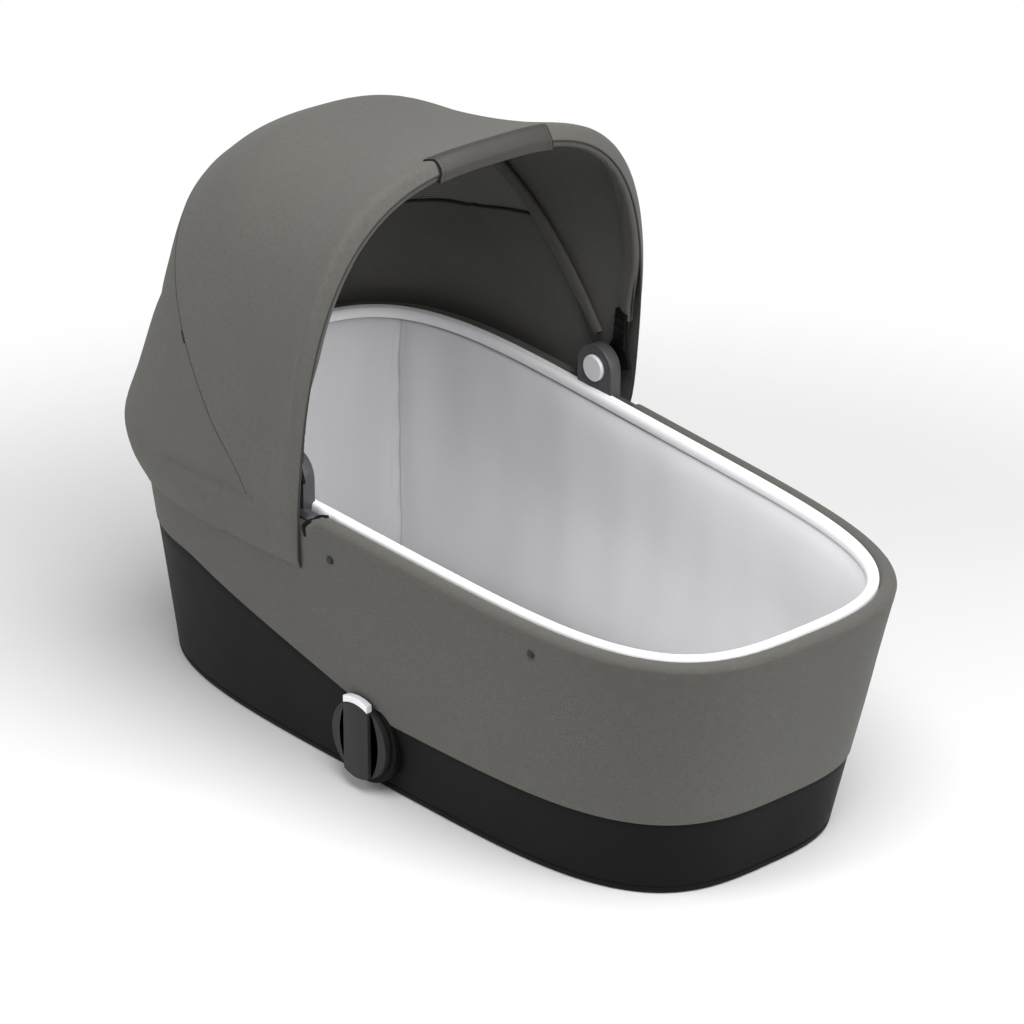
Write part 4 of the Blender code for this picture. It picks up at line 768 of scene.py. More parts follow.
FRONT_SAG, MAIN_BULGE = 6.1 * MM, 8.4 * MM
BULGE_Z, BULGE_OUT = HINGE_RIM_Z - 5.74 * MM, 14.8 * MM
UNDER_Z, UNDER_OUT = HINGE_RIM_Z - 40.74 * MM, 14.1 * MM
HEM_OUT, HEM_STAND_OFF, KNEE_STAND_OFF = 7.5 * MM, 3.5 * MM, 2.2 * MM
ROW_PITCH = 7.0 * MM
HOOD_HEM_Z = HINGE_RIM_Z - 71.75 * MM
LINE_START = 72.0 * MM
ARCH_HALF_STEPS = 14
HOOD_CLOTH_THICK = 1.5 * MM
print("hinge at", round(PIVOT_X, 4), round(PIVOT_Z, 4), "half-width", round(HINGE_HALF, 4), "m")

# %% [markdown]
# ### Lines over the bows
# An arch is a rounded line in a leaning plane, from its start height on the near side over to the far side.
# It may run on down to the hem, through a knee at the level of the hinge.

# %% Arches


def arch(base_x, lean, half_width, rise, power, tail=None, inset=0.0, behind=0.0, start=0.0):
    """A line over the hood from the near hem to the far hem, in a leaning plane above its base."""
    along = Vector((sin(lean), 0.0, cos(lean)))
    back = Vector((-cos(lean), 0.0, sin(lean)))
    base = Vector((base_x, 0.0, EDGE_BASE_Z)) + back * behind
    half, height = half_width - inset, rise - inset
    first = asin((start / height) ** (power / 2))
    fine, measure = [], [0.0]
    for step in range(FINE_STEPS + 1):
        angle = between(first, pi / 2, step / FINE_STEPS)
        fine.append((half * max(cos(angle), 0.0) ** (2 / power), height * sin(angle) ** (2 / power)))
        if step:
            measure.append(measure[-1] + hypot(fine[-1][0] - fine[-2][0], fine[-1][1] - fine[-2][1]))
    rising = []
    for out, up in spaced(fine, measure, ARCH_HALF_STEPS):
        rising.append(base + along * up + Vector((0.0, -out, 0.0)))
    near = []
    if tail:
        hem = Vector((tail[0], -(wall_y(tail[0], HOOD_HEM_Z) + HEM_STAND_OFF + SKIN), HOOD_HEM_Z))
        knee_y = wall_y(tail[1], EDGE_BASE_Z) + KNEE_STAND_OFF + SKIN
        knee = Vector((tail[1], min(rising[0].y, -knee_y), EDGE_BASE_Z))
        near = [hem, between(hem, knee, 0.5)] + ([knee] if start else [])
    near = near + rising
    return near + [Vector((p.x, -p.y, p.z)) for p in reversed(near[:-1])]


def visor_line(share, inset=0.0, hem=False, start=0.0):
    """A line on the visor from its front edge (share 0) to its shoulder (share 1)."""
    knee_x = EDGE_BASE_X - SHOULDER_BEHIND * share * cos(EDGE_LEAN)
    tail = (between(EDGE_HEM_X, SHOULDER_HEM_X, share), knee_x)
    return arch(EDGE_BASE_X, EDGE_LEAN, between(EDGE_HALF, SHOULDER_HALF, share),
                between(EDGE_RISE, SHOULDER_RISE, share), between(EDGE_POWER, SHOULDER_POWER, share),
                tail if hem else None, inset, SHOULDER_BEHIND * share, start)


def mid_line(inset=0.0, behind=0.0, hem=True, start=LINE_START):
    """The line of the middle bow, or one inside it or behind it."""
    tail = (MID_HEM_X, MID_KNEE_X) if hem else None
    return arch(MID_BASE_X, MID_LEAN, MID_HALF, MID_RISE, MID_POWER, tail, inset, behind, start)


def rear_line():
    """The line of the rear seam."""
    return arch(REAR_BASE_X, REAR_LEAN, REAR_HALF, REAR_RISE, REAR_POWER, (REAR_HEM_X, REAR_BASE_X),
                start=LINE_START)


def spread(row_a, row_b, share, lift=0.0):
    """A row part of the way between two rows, lifted away from the hinge at its top."""
    row = []
    for a, b in zip(row_a, row_b):
        point = between(a, b, share)
        out = Vector((point.x - PIVOT_X, 0.0, max(point.z - PIVOT_Z, 0.0))).normalized()
        reach = max(point.z - HOOD_HEM_Z, 0.0) / REAR_RISE
        row.append(point + out * lift * min(reach, 1.0) ** 2)
    return row

# %% [markdown]
# ### Round the head end
# Behind the rear seam the hood's lines run level round the end of the tub. They stand off from the wall at
# the head, where the cloth swells, lie close at the sides and run down to the hem.

# %% Head rows
QUARTERS = (0.25, 0.5, 0.75)
CLOSE_FROM = 0.62


def head_row(z, stand_off, count, start_x):
    """A level row round the head end of the wall, from the near side to the far side."""
    points = moved_in(ring([z] * STATIONS), -stand_off)
    half = STATIONS // 2
    path = [points[i] for i in range(half, STATIONS)] + [points[0]]
    near = [p for p in path if p.x <= start_x]
    a, b = path[len(near) - 1], path[len(near)]
    near.append(between(a, b, (start_x - a.x) / (b.x - a.x)))
    near.reverse()
    line = near + [Vector((p.x, -p.y, p.z)) for p in reversed(near[:-1])]
    measure = [0.0]
    for p, q in zip(line[:-1], line[1:]):
        measure.append(measure[-1] + (q - p).length)
    return [Vector(p) for p in spaced([tuple(p) for p in line], measure, count - 1)]


def swollen_row(z, stand_off, count, order):
    """A row that stands off at the head, lies close at the sides and runs down to the hem."""
    start_x = REAR_HEM_X - ROW_PITCH * order
    drop = [HOOD_HEM_Z, between(HOOD_HEM_Z, z, 0.5), between(HOOD_HEM_Z, z, 0.9)]
    tail = [Vector((start_x, -(wall_y(start_x, low) + HEM_STAND_OFF + SKIN), low)) for low in drop]
    arc = count - 2 * len(tail)
    row = []
    close_row = head_row(z, HEM_STAND_OFF + SKIN, arc, start_x)
    for k, (a, b) in enumerate(zip(head_row(z, stand_off, arc, start_x), close_row)):
        from_middle = abs(2 * k / (arc - 1) - 1)
        row.append(between(a, b, min(max((from_middle - CLOSE_FROM) / (1 - CLOSE_FROM), 0.0), 1.0)))
    return tail + row + [Vector((p.x, -p.y, p.z)) for p in reversed(tail)]


def hood_net():
    """Every row of the hood from the front edge to the hem at the head."""
    rows = [visor_line(0.0, hem=True, start=LINE_START),
            visor_line(VISOR_ROLL_SHARE, -VISOR_ROLL, hem=True, start=LINE_START),
            visor_line(1.0, hem=True, start=LINE_START)]
    flat = [between(a, b, VISOR_ROLL_SHARE) for a, b in zip(rows[0], rows[2])]
    rows[1] = [between(b, a, between(ROLL_AT_HINGE, 1.0, eased((a.z - PIVOT_Z) / ROLL_FADE)))
               for a, b in zip(rows[1], flat)]
    shoulder, mid, rear = rows[-1], mid_line(), rear_line()
    count = len(mid)
    for share in QUARTERS:
        rows.append(spread(shoulder, mid, share, -4 * FRONT_SAG * share * (1 - share)))
    rows.append(mid)
    for share in QUARTERS:
        rows.append(spread(mid, rear, share, 4 * MAIN_BULGE * share * (1 - share)))
    swell = swollen_row(BULGE_Z, BULGE_OUT, count, 4)
    middle = spread(rear, swell, 0.5)
    rows += [rear, spread(rear, middle, 0.5), middle, spread(middle, swell, 0.5), swell,
             swollen_row(UNDER_Z, UNDER_OUT, count, 5),
             head_row(HOOD_HEM_Z, HEM_OUT, count, REAR_HEM_X - 6 * ROW_PITCH)]
    return rows


HOOD_ROWS = hood_net()
print("hood lines:", len(HOOD_ROWS), "with", len(HOOD_ROWS[0]), "points each")

# %% [markdown]
# ### One smooth surface
# A spline along every line and one across all lines make the fine grid. They run through every point, so
# the lines keep their places.

# %% Hood surface
MID_ROW, REAR_ROW = 6, 10
ROW_STEPS, COLUMN_STEPS = 6, 5
MID_BOW_ROW = MID_ROW * ROW_STEPS


def spline(points, steps):
    """A smooth line through all points, with uneven spaces taken into account."""
    ends = [points[0] * 2 - points[1]] + list(points) + [points[-1] * 2 - points[-2]]
    line = []
    for k in range(1, len(ends) - 2):
        p0, p1, p2, p3 = ends[k - 1:k + 3]
        t01 = max((p1 - p0).length ** 0.5, 1e-6)
        t12 = max((p2 - p1).length ** 0.5, 1e-6)
        t23 = max((p3 - p2).length ** 0.5, 1e-6)
        m1 = (p2 - p1) + ((p1 - p0) / t01 - (p2 - p0) / (t01 + t12)) * t12
        m2 = (p2 - p1) + ((p3 - p2) / t23 - (p3 - p1) / (t12 + t23)) * t12
        for step in range(steps):
            t = step / steps
            line.append(p1 * (2 * t ** 3 - 3 * t ** 2 + 1) + m1 * (t ** 3 - 2 * t ** 2 + t)
                        + p2 * (3 * t ** 2 - 2 * t ** 3) + m2 * (t ** 3 - t ** 2))
    return line + [points[-1]]


def smooth_grid(net):
    """The fine grid: a spline along every row, then along every column."""
    rows = [spline(row, COLUMN_STEPS) for row in net]
    columns = [spline([row[c] for row in rows], ROW_STEPS) for c in range(len(rows[0]))]
    return [[column[r] for column in columns] for r in range(len(columns[0]))]


print(ROW_STEPS, "rows and", COLUMN_STEPS, "columns for each space between the hood's points")

# %% [markdown]
# ### Settling, creases and hem
# Where the rows crowd together above the hem the cloth is evened out. A few soft creases are pressed in, on
# both sides alike, and the hem is drawn in to the tub, so that it lies close and hardly shows.

# %% Settled and creased cloth
SETTLE_ROW, SETTLE_COLUMN, SETTLE_ROUNDS = 64, 26, 14
SETTLE_WEIGHT, SETTLE_FADE = 0.6, 8
HEM_REACH, HEM_PULL, HEM_PULL_HEAD = 15.0 * MM, 2.9 * MM, 5.2 * MM
HEM_HEAD_X, HEM_HEAD_RUN = -380.0 * MM, 50.0 * MM


def settled(grid):
    """Even out the cloth above the hem, where the rows crowd together at both corners of the head."""
    last = len(grid[0]) - 1
    for _ in range(SETTLE_ROUNDS):
        fresh = [list(row) for row in grid]
        for r in range(SETTLE_ROW, len(grid) - 1):
            for c in [*range(1, SETTLE_COLUMN), *range(last - SETTLE_COLUMN + 1, last)]:
                inside = min(c, last - c)
                weight = eased((r - SETTLE_ROW) / SETTLE_FADE) * eased((SETTLE_COLUMN - inside) / SETTLE_FADE)
                around = (grid[r - 1][c] + grid[r + 1][c] + grid[r][c - 1] + grid[r][c + 1]) / 4
                fresh[r][c] = between(grid[r][c], around, SETTLE_WEIGHT * weight)
        grid = fresh
    return grid


def hem_drawn_in(grid):
    """Draw the lowest cloth in to the tub, so that the hem lies close and hardly shows."""
    drawn = []
    for row, normals in zip(grid, grid_normals(grid, False)):
        line = []
        for point, normal in zip(row, normals):
            level = Vector((normal.x, normal.y, 0.0))
            low = max(1.0 - (point.z - HOOD_HEM_Z) / HEM_REACH, 0.0)
            pull = between(HEM_PULL, HEM_PULL_HEAD, eased((HEM_HEAD_X - point.x) / HEM_HEAD_RUN))
            line.append(point - level.normalized() * pull * low * low)
        drawn.append(line)
    return drawn


# Soft creases through marks (row, column), with a depth and a width in mm: the tuck behind the seam, and the
# dip where the head starts to swell.
CREASES = [([(85, 29), (85, 21), (85, 16), (70, 9), (53, 9)], 2.8, 5.0),
           ([(69, 42), (69, 50), (69, 56)], 2.2, 16.0)]
CREASE_STEPS = 8


def creased(grid):
    """Press soft creases into the cloth, on both sides alike."""
    last = len(grid[0]) - 1
    normals = grid_normals(grid, False)
    moved = [list(row) for row in grid]
    for marks, depth, width in CREASES:
        for mirror in (False, True):
            line = spline([grid[r][last - c if mirror else c] for r, c in marks], CREASE_STEPS)
            spread_out = (width * MM) ** 2
            for r in range(MID_BOW_ROW + 1, len(grid)):
                for c in range(len(grid[0])):
                    away = min((grid[r][c] - place).length_squared for place in line)
                    if away < 9 * spread_out:
                        moved[r][c] = moved[r][c] - normals[r][c] * depth * MM * exp(-away / spread_out)
    return moved


def corners_trued(grid):
    """Bring the head hem's two corner points into line with the hem beside them."""
    for corner, beside in ((0, 1), (-1, -2)):
        grid[-1][corner] = grid[-2][corner] + grid[-1][beside] - grid[-2][beside]
    return grid


HOOD = corners_trued(hem_drawn_in(creased(settled(smooth_grid(HOOD_ROWS)))))
HOOD_NORMALS = grid_normals(HOOD, False)
print("hood grid:", len(HOOD), "rows,", len(HOOD[0]), "columns")

# %% [markdown]
# ## How the hood folds
# The hood follows both bows. A point at the hem stays with the tub, a point at the middle bow turns with it,
# and the front edge turns further, because the front bow is geared to the middle bow. Here each point gets
# one share of the middle bow's turn, from its row on the grid, and that share fades to nothing at the rim.
# The share is written into the blend attribute of both cloth pieces, so that they stay joined.

# %% Fold shares
FRONT_RATIO = 0.45
VISOR_ROWS = 2 * ROW_STEPS
FOLD_LOW, FOLD_HIGH = HINGE_RIM_Z - 6.0 * MM, PIVOT_Z + 30.0 * MM
# The shares are then written over it.
RAMP_START, RAMP_END = Vector((PIVOT_X, 0.0, PIVOT_Z)), Vector((PIVOT_X, 0.0, PIVOT_Z + 0.3))


def fold_share(row, height):
    """Share of the middle bow's turn for a row of the grid and a height."""
    if row <= MID_BOW_ROW:
        share = between(1.0 + FRONT_RATIO, 1.0, max(row - VISOR_ROWS, 0.0) / (MID_BOW_ROW - VISOR_ROWS))
    else:
        share = between(1.0, 0.0, (row - MID_BOW_ROW) / (len(HOOD) - 1 - MID_BOW_ROW))
    return share * eased((height - FOLD_LOW) / (FOLD_HIGH - FOLD_LOW))


def shell_rows(piece, grid, first_row):
    """The hood's grid row of each vertex in a cloth shell whose grid starts at a row."""
    count = len(grid[0])
    total = len(grid) * count
    return [first_row + (index % total) // count for index in range(len(piece.data.vertices))]


def fold_along(piece, rows, front):
    """Let a piece fold with the hood. Rows holds the grid row of each vertex, or one row for all."""
    bodies = ("middle_bow", "front_bow") if front else ("cot", "middle_bow")
    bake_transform(piece, *bodies, RAMP_START, RAMP_END)
    values = []
    for index, vertex in enumerate(piece.data.vertices):
        share = fold_share(rows[index] if isinstance(rows, list) else rows, vertex.co.z)
        values.append((share - 1.0) / FRONT_RATIO if front else share)
    piece.data.attributes["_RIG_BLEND"].data.foreach_set("value", values)


print("shares at the front edge and the middle bow:", fold_share(0, 1.0), fold_share(MID_BOW_ROW, 1.0))

# %% [markdown]
# ## Hood cloth
# Two pieces meet on the middle bow: the visor piece in front of it and the main piece behind it. Their inner
# side is the darker lining that the opening shows.

# %% Hood pieces


def hood_cloth(name, first_row, last_row, front):
    """A piece of the hood's cloth from rows of its grid, which folds between two bodies."""
    rows = HOOD[first_row:last_row + 1]
    piece = cloth_shell(name, rows, HOOD_CLOTH_THICK, [HOOD_CLOTH, HOOD_LINING],
                        normals=HOOD_NORMALS[first_row:last_row + 1])
    fold_along(piece, shell_rows(piece, rows, first_row), front)
    return piece


visor = hood_cloth("hood_visor", 0, MID_BOW_ROW, True)
rear = hood_cloth("hood_main", MID_BOW_ROW, len(HOOD) - 1, False)
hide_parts("hood_front_panel")
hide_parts("hood_main_panel", "hood_rear_panel")

# %% [markdown]
# ## Inside the tub
# The liner hangs from the white band as a padded skirt. A soft roll swells right under its seam, the wall
# below is a little full with soft upright folds, and the skirt draws in at the floor.

# %% Liner
EVEN_ROWS, EVEN_STEPS = 20, 24
LINER_SHARES = [k / EVEN_STEPS for k in range(EVEN_ROWS)]
LINER_SHARES += [0.83, 0.86, 0.885, 0.91, 0.93, 0.95, 0.965, 0.98, 0.99, 1.0]
LINER_THICK, LINER_FOOT_IN = 2.0 * MM, 9.55 * MM
LINER_BOTTOM = TRAY_FLOOR + 2 * GAP + FLOOR_BOARD
PUFF_DEPTH, PUFF_SHARE, PUFF_FADE = 8.0 * MM, 0.09, 0.4
SWELL_DEPTH, SWELL_POWER = 2.2 * MM, 0.7
WAVE_SIZE, WAVE_HEIGHT, WAVE_SEED = 0.09, 1.2 * MM, 3.0
FOLD_SIZE, FOLD_DEPTH, FOLD_SEED, FOLD_POWER, FOLD_UPRIGHT = 0.045, 3.2 * MM, 9.0, 0.6, 0.15
SEAM_LOW_SHARE, SEAM_HIGH_SHARE = 0.737, 0.79
SEAM_DENT, SEAM_REACH = 4.2 * MM, 3.0
TRIM_WIDTH, TRIM_HEIGHT = 10.0 * MM, 9.0 * MM
TRIM_IN = ROLL_RADIUS + GAP + TRIM_WIDTH / 2
TRIM_UP = ROLL_RADIUS - TRIM_HEIGHT / 2 - SKIN


def liner_puff(share):
    """The padded roll under the white band: it swells inwards at once, then fades out down the wall."""
    down = 1.0 - share
    if down < PUFF_SHARE:
        return PUFF_DEPTH * (1.0 - (1.0 - down / PUFF_SHARE) ** 2) ** 0.5
    return PUFF_DEPTH * (1.0 - eased((down - PUFF_SHARE) / PUFF_FADE))


def seam_station(share):
    """Place of the liner's upright seam, counted round the wall from the foot end."""
    return between(SEAM_LOW_SHARE, SEAM_HIGH_SHARE, share) * STATIONS / 2


def liner_grid():
    """Rings of the liner from the floor to the white band."""
    top_z = [z - ROLL_RADIUS + TRIM_UP - TRIM_HEIGHT / 2 - GAP for z in RIM_Z]
    top = ring(top_z, 2 * ROLL_RADIUS + TRIM_WIDTH / 2)
    bottom = ring([LINER_BOTTOM] * STATIONS, LINER_FOOT_IN)
    grid = []
    for share in LINER_SHARES:
        row = [between(a, b, share) for a, b in zip(bottom, top)]
        fullness = sin(pi * share)
        swell = SWELL_DEPTH * fullness ** SWELL_POWER + liner_puff(share)
        seam = seam_station(share)
        moved = []
        for i, (point, inward) in enumerate(zip(row, INWARD)):
            from_seam = min(abs(i - seam), abs(STATIONS - i - seam))
            dent = SEAM_DENT * max(1.0 - from_seam / SEAM_REACH, 0.0) ** 2 * min(4 * share, 1.0)
            wave = soft_wave(point, WAVE_SIZE, WAVE_HEIGHT, WAVE_SEED) * fullness
            upright = Vector((point.x, point.y, point.z * FOLD_UPRIGHT))
            fold = soft_wave(upright, FOLD_SIZE, FOLD_DEPTH, FOLD_SEED) * fullness ** FOLD_POWER
            moved.append(point + inward * (swell - dent + wave + fold))
        grid.append(moved)
    return grid


LINER_GRID = liner_grid()
liner = cloth_shell("liner_cloth", LINER_GRID, LINER_THICK, [LINER_CLOTH], closed=True, flip=-1)
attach(liner, "cot")
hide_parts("liner")

# %% [markdown]
# ## The white band
# The band is a folded strip between the cover and the liner. Its section has two fine grooves, where its zip
# lies. Thin lines are laid into them later.

# %% Rim band
# The section as shares of the band's width and height, from the cover's side to the liner's.
BAND_PROFILE = [(-0.5, -0.45), (-0.52, 0.3), (-0.46, 0.62), (-0.34, 0.8), (-0.15, 0.86), (0.03, 0.85),
                (0.07, 0.76), (0.11, 0.84), (0.24, 0.8), (0.28, 0.71), (0.32, 0.76), (0.46, 0.66),
                (0.6, 0.44), (0.68, 0.15), (0.66, -0.2), (0.56, -0.5)]
BAND_THICK, BAND_GROOVES, GROOVE_THREAD = 0.8 * MM, [6, 9], 0.55 * MM

band_rows = [moved_in(HOOP_LINE, TRIM_IN + across * TRIM_WIDTH, TRIM_UP + up * TRIM_HEIGHT)
             for across, up in BAND_PROFILE]
band = cloth_shell("rim_band_cloth", band_rows, BAND_THICK, [BAND_CLOTH], closed=True)
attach(band, "cot")
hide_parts("rim_band")

# %% [markdown]

# %% Sheet sizes


# %% [markdown]
# ## Rigid pieces
# Brackets, buttons, sockets, adapters and screws come straight from the CAD frame. Each one is copied and its
# flat faces are merged; most get a small round on their edges, because real moulded edges catch a line of
# light.

# %% Dressed CAD pieces
SAME_POINT = 0.01 * MM
SHARP = radians(35)


def joined(mesh, merge_flats=False):
    """Join the doubled points of a CAD mesh and, where asked, merge its flat faces."""
    work = bmesh.new()
    work.from_mesh(mesh)
    bmesh.ops.remove_doubles(work, verts=work.verts, dist=SAME_POINT)
    if merge_flats:
        bmesh.ops.dissolve_limit(work, angle_limit=radians(1), verts=work.verts, edges=work.edges)
    work.to_mesh(mesh)
    work.free()


def flatten(piece):
    """Turn a piece with modifiers into a plain mesh."""
    deps = bpy.context.evaluated_depsgraph_get()
    deps.update()
    made = bpy.data.meshes.new_from_object(piece.evaluated_get(deps), depsgraph=deps)
    old = piece.data
    piece.modifiers.clear()
    piece.data = made
    made.name = piece.name
    bpy.data.meshes.remove(old)


def dressed(name, finish, round_edge, segments=2, rides=True):
    """A copy of a CAD piece with a finish and rounded edges, on the same body as the CAD piece."""
    source = frame["nodes"][name]
    mesh = source.data.copy()
    joined(mesh, merge_flats=True)
    mesh.materials.clear()
    piece = add_piece(name + "_dressed", mesh, None, [finish])
    if round_edge:
        rounding = piece.modifiers.new("round edges", "BEVEL")
        rounding.width = round_edge
        rounding.segments = segments
        rounding.limit_method = "ANGLE"
        rounding.angle_limit = SHARP
        rounding.use_clamp_overlap = True
        flatten(piece)
    piece.data.shade_smooth()
    piece.data.set_sharp_from_angle(angle=SHARP)
    if rides:
        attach(piece, body_of(source)[0])
    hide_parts(name)
    return piece


print("copies keep edges sharp from", round(SHARP, 3), "radians on")

# %% [markdown]
# ### Feet and springs
# The photograph shows the foot of the front bow hidden behind the hood's edge, and the foot of each hinge
# deep in the cover. Both are moved by a few millimetres. A spring shortens with the button that presses it.

# %% Rigid pieces dressed
FOOT_BACK = 9.0 * MM
BACK_FROM, BACK_RISE = -5.0 * MM, 35.0 * MM
BACK_UNTIL, BACK_FADE = 65.0 * MM, 80.0 * MM


def foot_set_back(piece):
    """Ease the foot of the front bow back, so that it hides behind the hood's edge as in the photograph."""
    for vertex in piece.data.vertices:
        up = vertex.co.z - PIVOT_Z
        rising = eased((up - BACK_FROM) / BACK_RISE) * (1.0 - eased((up - BACK_UNTIL) / BACK_FADE))
        vertex.co.x -= FOOT_BACK * rising


BRACKET_FOOT, BRACKET_DROP = 6.0 * MM, 13.0 * MM


def foot_lowered(bracket):
    """Stand a hinge's bracket deeper in the dip of the cover, where the photograph shows its foot."""
    lowest = min(vertex.co.z for vertex in bracket.data.vertices)
    for vertex in bracket.data.vertices:
        if vertex.co.z < lowest + BRACKET_FOOT:
            vertex.co.z -= BRACKET_DROP


def sprung(piece, pressed):
    """Let a spring shorten between the tub and the button that presses it."""
    low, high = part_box(pressed)
    target = (low.y + high.y) / 2
    ends = sorted({vertex.co.y for vertex in piece.data.vertices}, key=lambda y: abs(y - target))
    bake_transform(piece, "cot", body_of(frame["nodes"][pressed])[0], Vector((0.0, ends[-1], 0.0)),
             Vector((0.0, ends[0], 0.0)))


for side in ("near", "far"):
    foot_lowered(dressed("hinge_bracket_" + side, GREY_PLASTIC, 0.9 * MM, segments=3))
    dressed("hinge_button_" + side, SILVER_PLASTIC, 0.0)
    dressed("hinge_pin_" + side, STEEL, 0.3 * MM)
    foot_set_back(dressed("bow_socket_" + side, BLACK_PLASTIC, 0.3 * MM))
    dressed("adapter_" + side, DARK_PLASTIC, 0.5 * MM)
    dressed("adapter_tab_" + side, WHITE_PLASTIC, 0.6 * MM, segments=3)
    dressed("tab_spring_" + side, STEEL, 0.0)
    sprung(dressed("button_spring_" + side, STEEL, 0.0, rides=False), "hinge_button_" + side)
    for end in ("head", "foot"):
        dressed("adapter_screw_%s_%s" % (side, end), STEEL, 0.2 * MM)
        dressed("press_stud_%s_%s" % (side, end), DARK_PLASTIC, 0.3 * MM)
dressed("rim_hoop", GREY_PLASTIC, 0.0)
dressed("wall_board", BOARD, 0.0)
dressed("floor_board", BOARD, 0.0)
dressed("mid_bow", DARK_PLASTIC, 0.3 * MM)
foot_set_back(dressed("front_bow", DARK_PLASTIC, 0.3 * MM))
print("rigid pieces dressed")

# %% [markdown]
# ## The base tray
# The tray is one moulding: a rounded foot, a fine step near the floor, a straight wall and a rounded top
# edge that climbs in a ramp towards the head. Its two round bosses carry the adapters.

# %% Tray
TRAY_STEP_IN, TRAY_WALL, TRAY_TOP_DROP = 1.2 * MM, 3.0 * MM, 0.8 * MM
# The tray's section in mm: (inset, height) from the foot to the plain wall, and (inset, drop) at its top.
TRAY_PROFILE = [(7.0, 0.0), (3.0, 0.2), (1.0, 0.9), (0.2, 2.2), (0.0, 4.0), (0.0, 7.4), (0.7, 7.9),
                (0.7, 9.0), (0.0, 9.5)]
TRAY_ROUND = [(0.3, 0.2), (0.9, 0.0)]
TRAY_ROWS = 10
BOSS_RADIUS, BOSS_STEPS = 48.2 * MM, 96
# The boss's section in mm: (inset, depth) from its buried end to its rounded face.
BOSS_PROFILE = [(0.0, 10.0), (0.0, 1.6), (0.4, 0.5), (1.5, 0.0)]
ADAPTER_X, ADAPTER_Z, ADAPTER_OUT = -2.0 * MM, 57.3 * MM, 6.4 * MM


def tray_grid():
    """Rings from the foot up the wall, round its top edge and down the inside to the floor."""
    grid = [ring([up * MM] * STATIONS, TRAY_STEP_IN + inset * MM) for inset, up in TRAY_PROFILE]
    low = TRAY_PROFILE[-1][1] * MM
    for k in range(1, TRAY_ROWS + 1):
        grid.append(ring([between(low, z - TRAY_TOP_DROP, k / TRAY_ROWS) for z in TRAY_EDGE], TRAY_STEP_IN))
    for inset, drop in TRAY_ROUND:
        grid.append(ring([z - drop * MM for z in TRAY_EDGE], TRAY_STEP_IN + inset * MM))
    grid.append(ring(TRAY_EDGE, TRAY_STEP_IN + TRAY_WALL))
    grid.append(ring([TRAY_FLOOR] * STATIONS, TRAY_STEP_IN + TRAY_WALL))
    return grid


def loft_faces(rings, count, closed=False):
    """Faces between rings of points, with a flat face over both ends unless the last ring joins the first."""
    faces = []
    for r in range(rings if closed else rings - 1):
        a, b = r * count, (r + 1) % rings * count
        for c in range(count):
            d = (c + 1) % count
            faces.append((a + c, a + d, b + d, b + c))
    if not closed:
        faces.append(tuple(reversed(range(count))))
        faces.append(tuple((rings - 1) * count + c for c in range(count)))
    return faces


def closed_loft(name, grid, finish):
    """A closed solid from rings, with a flat face over the first and the last ring, on the tub."""
    mesh = bpy.data.meshes.new(name)
    mesh.from_pydata([point for row in grid for point in row], [], loft_faces(len(grid), len(grid[0])))
    mesh.shade_smooth()
    mesh.set_sharp_from_angle(angle=radians(40))
    return add_piece(name, mesh, "cot", [finish])


def boss_ring(inset, y, way):
    """One round of a boss, in a plane across the tub."""
    points = []
    for k in range(BOSS_STEPS):
        turn = 2 * pi * k / BOSS_STEPS
        points.append(Vector((ADAPTER_X + (BOSS_RADIUS - inset) * cos(turn) * -way, way * y,
                              ADAPTER_Z + (BOSS_RADIUS - inset) * sin(turn))))
    return points


tray = closed_loft("base_tray", tray_grid(), BLACK_PLASTIC)
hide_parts("base_shell")
boss_y = wall_y(ADAPTER_X, ADAPTER_Z) + ADAPTER_OUT
for side, way in (("near", -1), ("far", 1)):
    rings = [boss_ring(inset * MM, boss_y - depth * MM, way) for inset, depth in BOSS_PROFILE]
    boss = closed_loft("adapter_boss_" + side, rings, BLACK_PLASTIC)
print("tray and bosses ready")

# %% [markdown]
# ## Thin round pieces
# Piping, tape and thread are tubes along a line. The tube helper carries its ring of points along the line
# without twisting it. The line of a piece on the hood is picked from the hood's grid, at any row and column
# and at a depth under the cloth.

# %% Tubes and points on the hood
TUBE_STEP = 2.0 * MM


def tube(name, points, radius, finish, sides=8, closed=False):
    """A round tube along a line of points, with flat ends unless the line is closed."""
    count = len(points)
    turns = [2 * pi * k / sides for k in range(sides)]
    rings = []
    normal = None
    for k, point in enumerate(points):
        after = points[(k + 1) % count] if closed or k + 1 < count else point
        before = points[k - 1] if closed or k else point
        along = (after - before).normalized()
        if normal is None:
            normal = along.orthogonal().normalized()
        normal = (normal - along * normal.dot(along)).normalized()
        side = along.cross(normal)
        rings.append([point + (normal * cos(turn) + side * sin(turn)) * radius for turn in turns])
    mesh = bpy.data.meshes.new(name)
    mesh.from_pydata([point for row in rings for point in row], [], loft_faces(count, sides, closed))
    place = mesh.uv_layers.new(name="cloth")
    for corner in mesh.loops:
        k, j = divmod(corner.vertex_index, sides)
        place.data[corner.index].uv = (k * TUBE_STEP, j * 2 * pi * radius / sides)
    mesh.shade_smooth()
    return add_piece(name, mesh, None, [finish])


def hood_point(row, column, depth=0.0):
    """A point on the hood's grid, moved towards the inside by a depth."""
    r, c = int(row), int(column)
    r2, c2 = min(r + 1, len(HOOD) - 1), min(c + 1, len(HOOD[0]) - 1)
    near = between(HOOD[r][c], HOOD[r][c2], column - c)
    far = between(HOOD[r2][c], HOOD[r2][c2], column - c)
    outwards = between(HOOD_NORMALS[r][c], HOOD_NORMALS[r2][c2], 0.5).normalized()
    return between(near, far, row - r) - outwards * depth


print("tube helper ready")

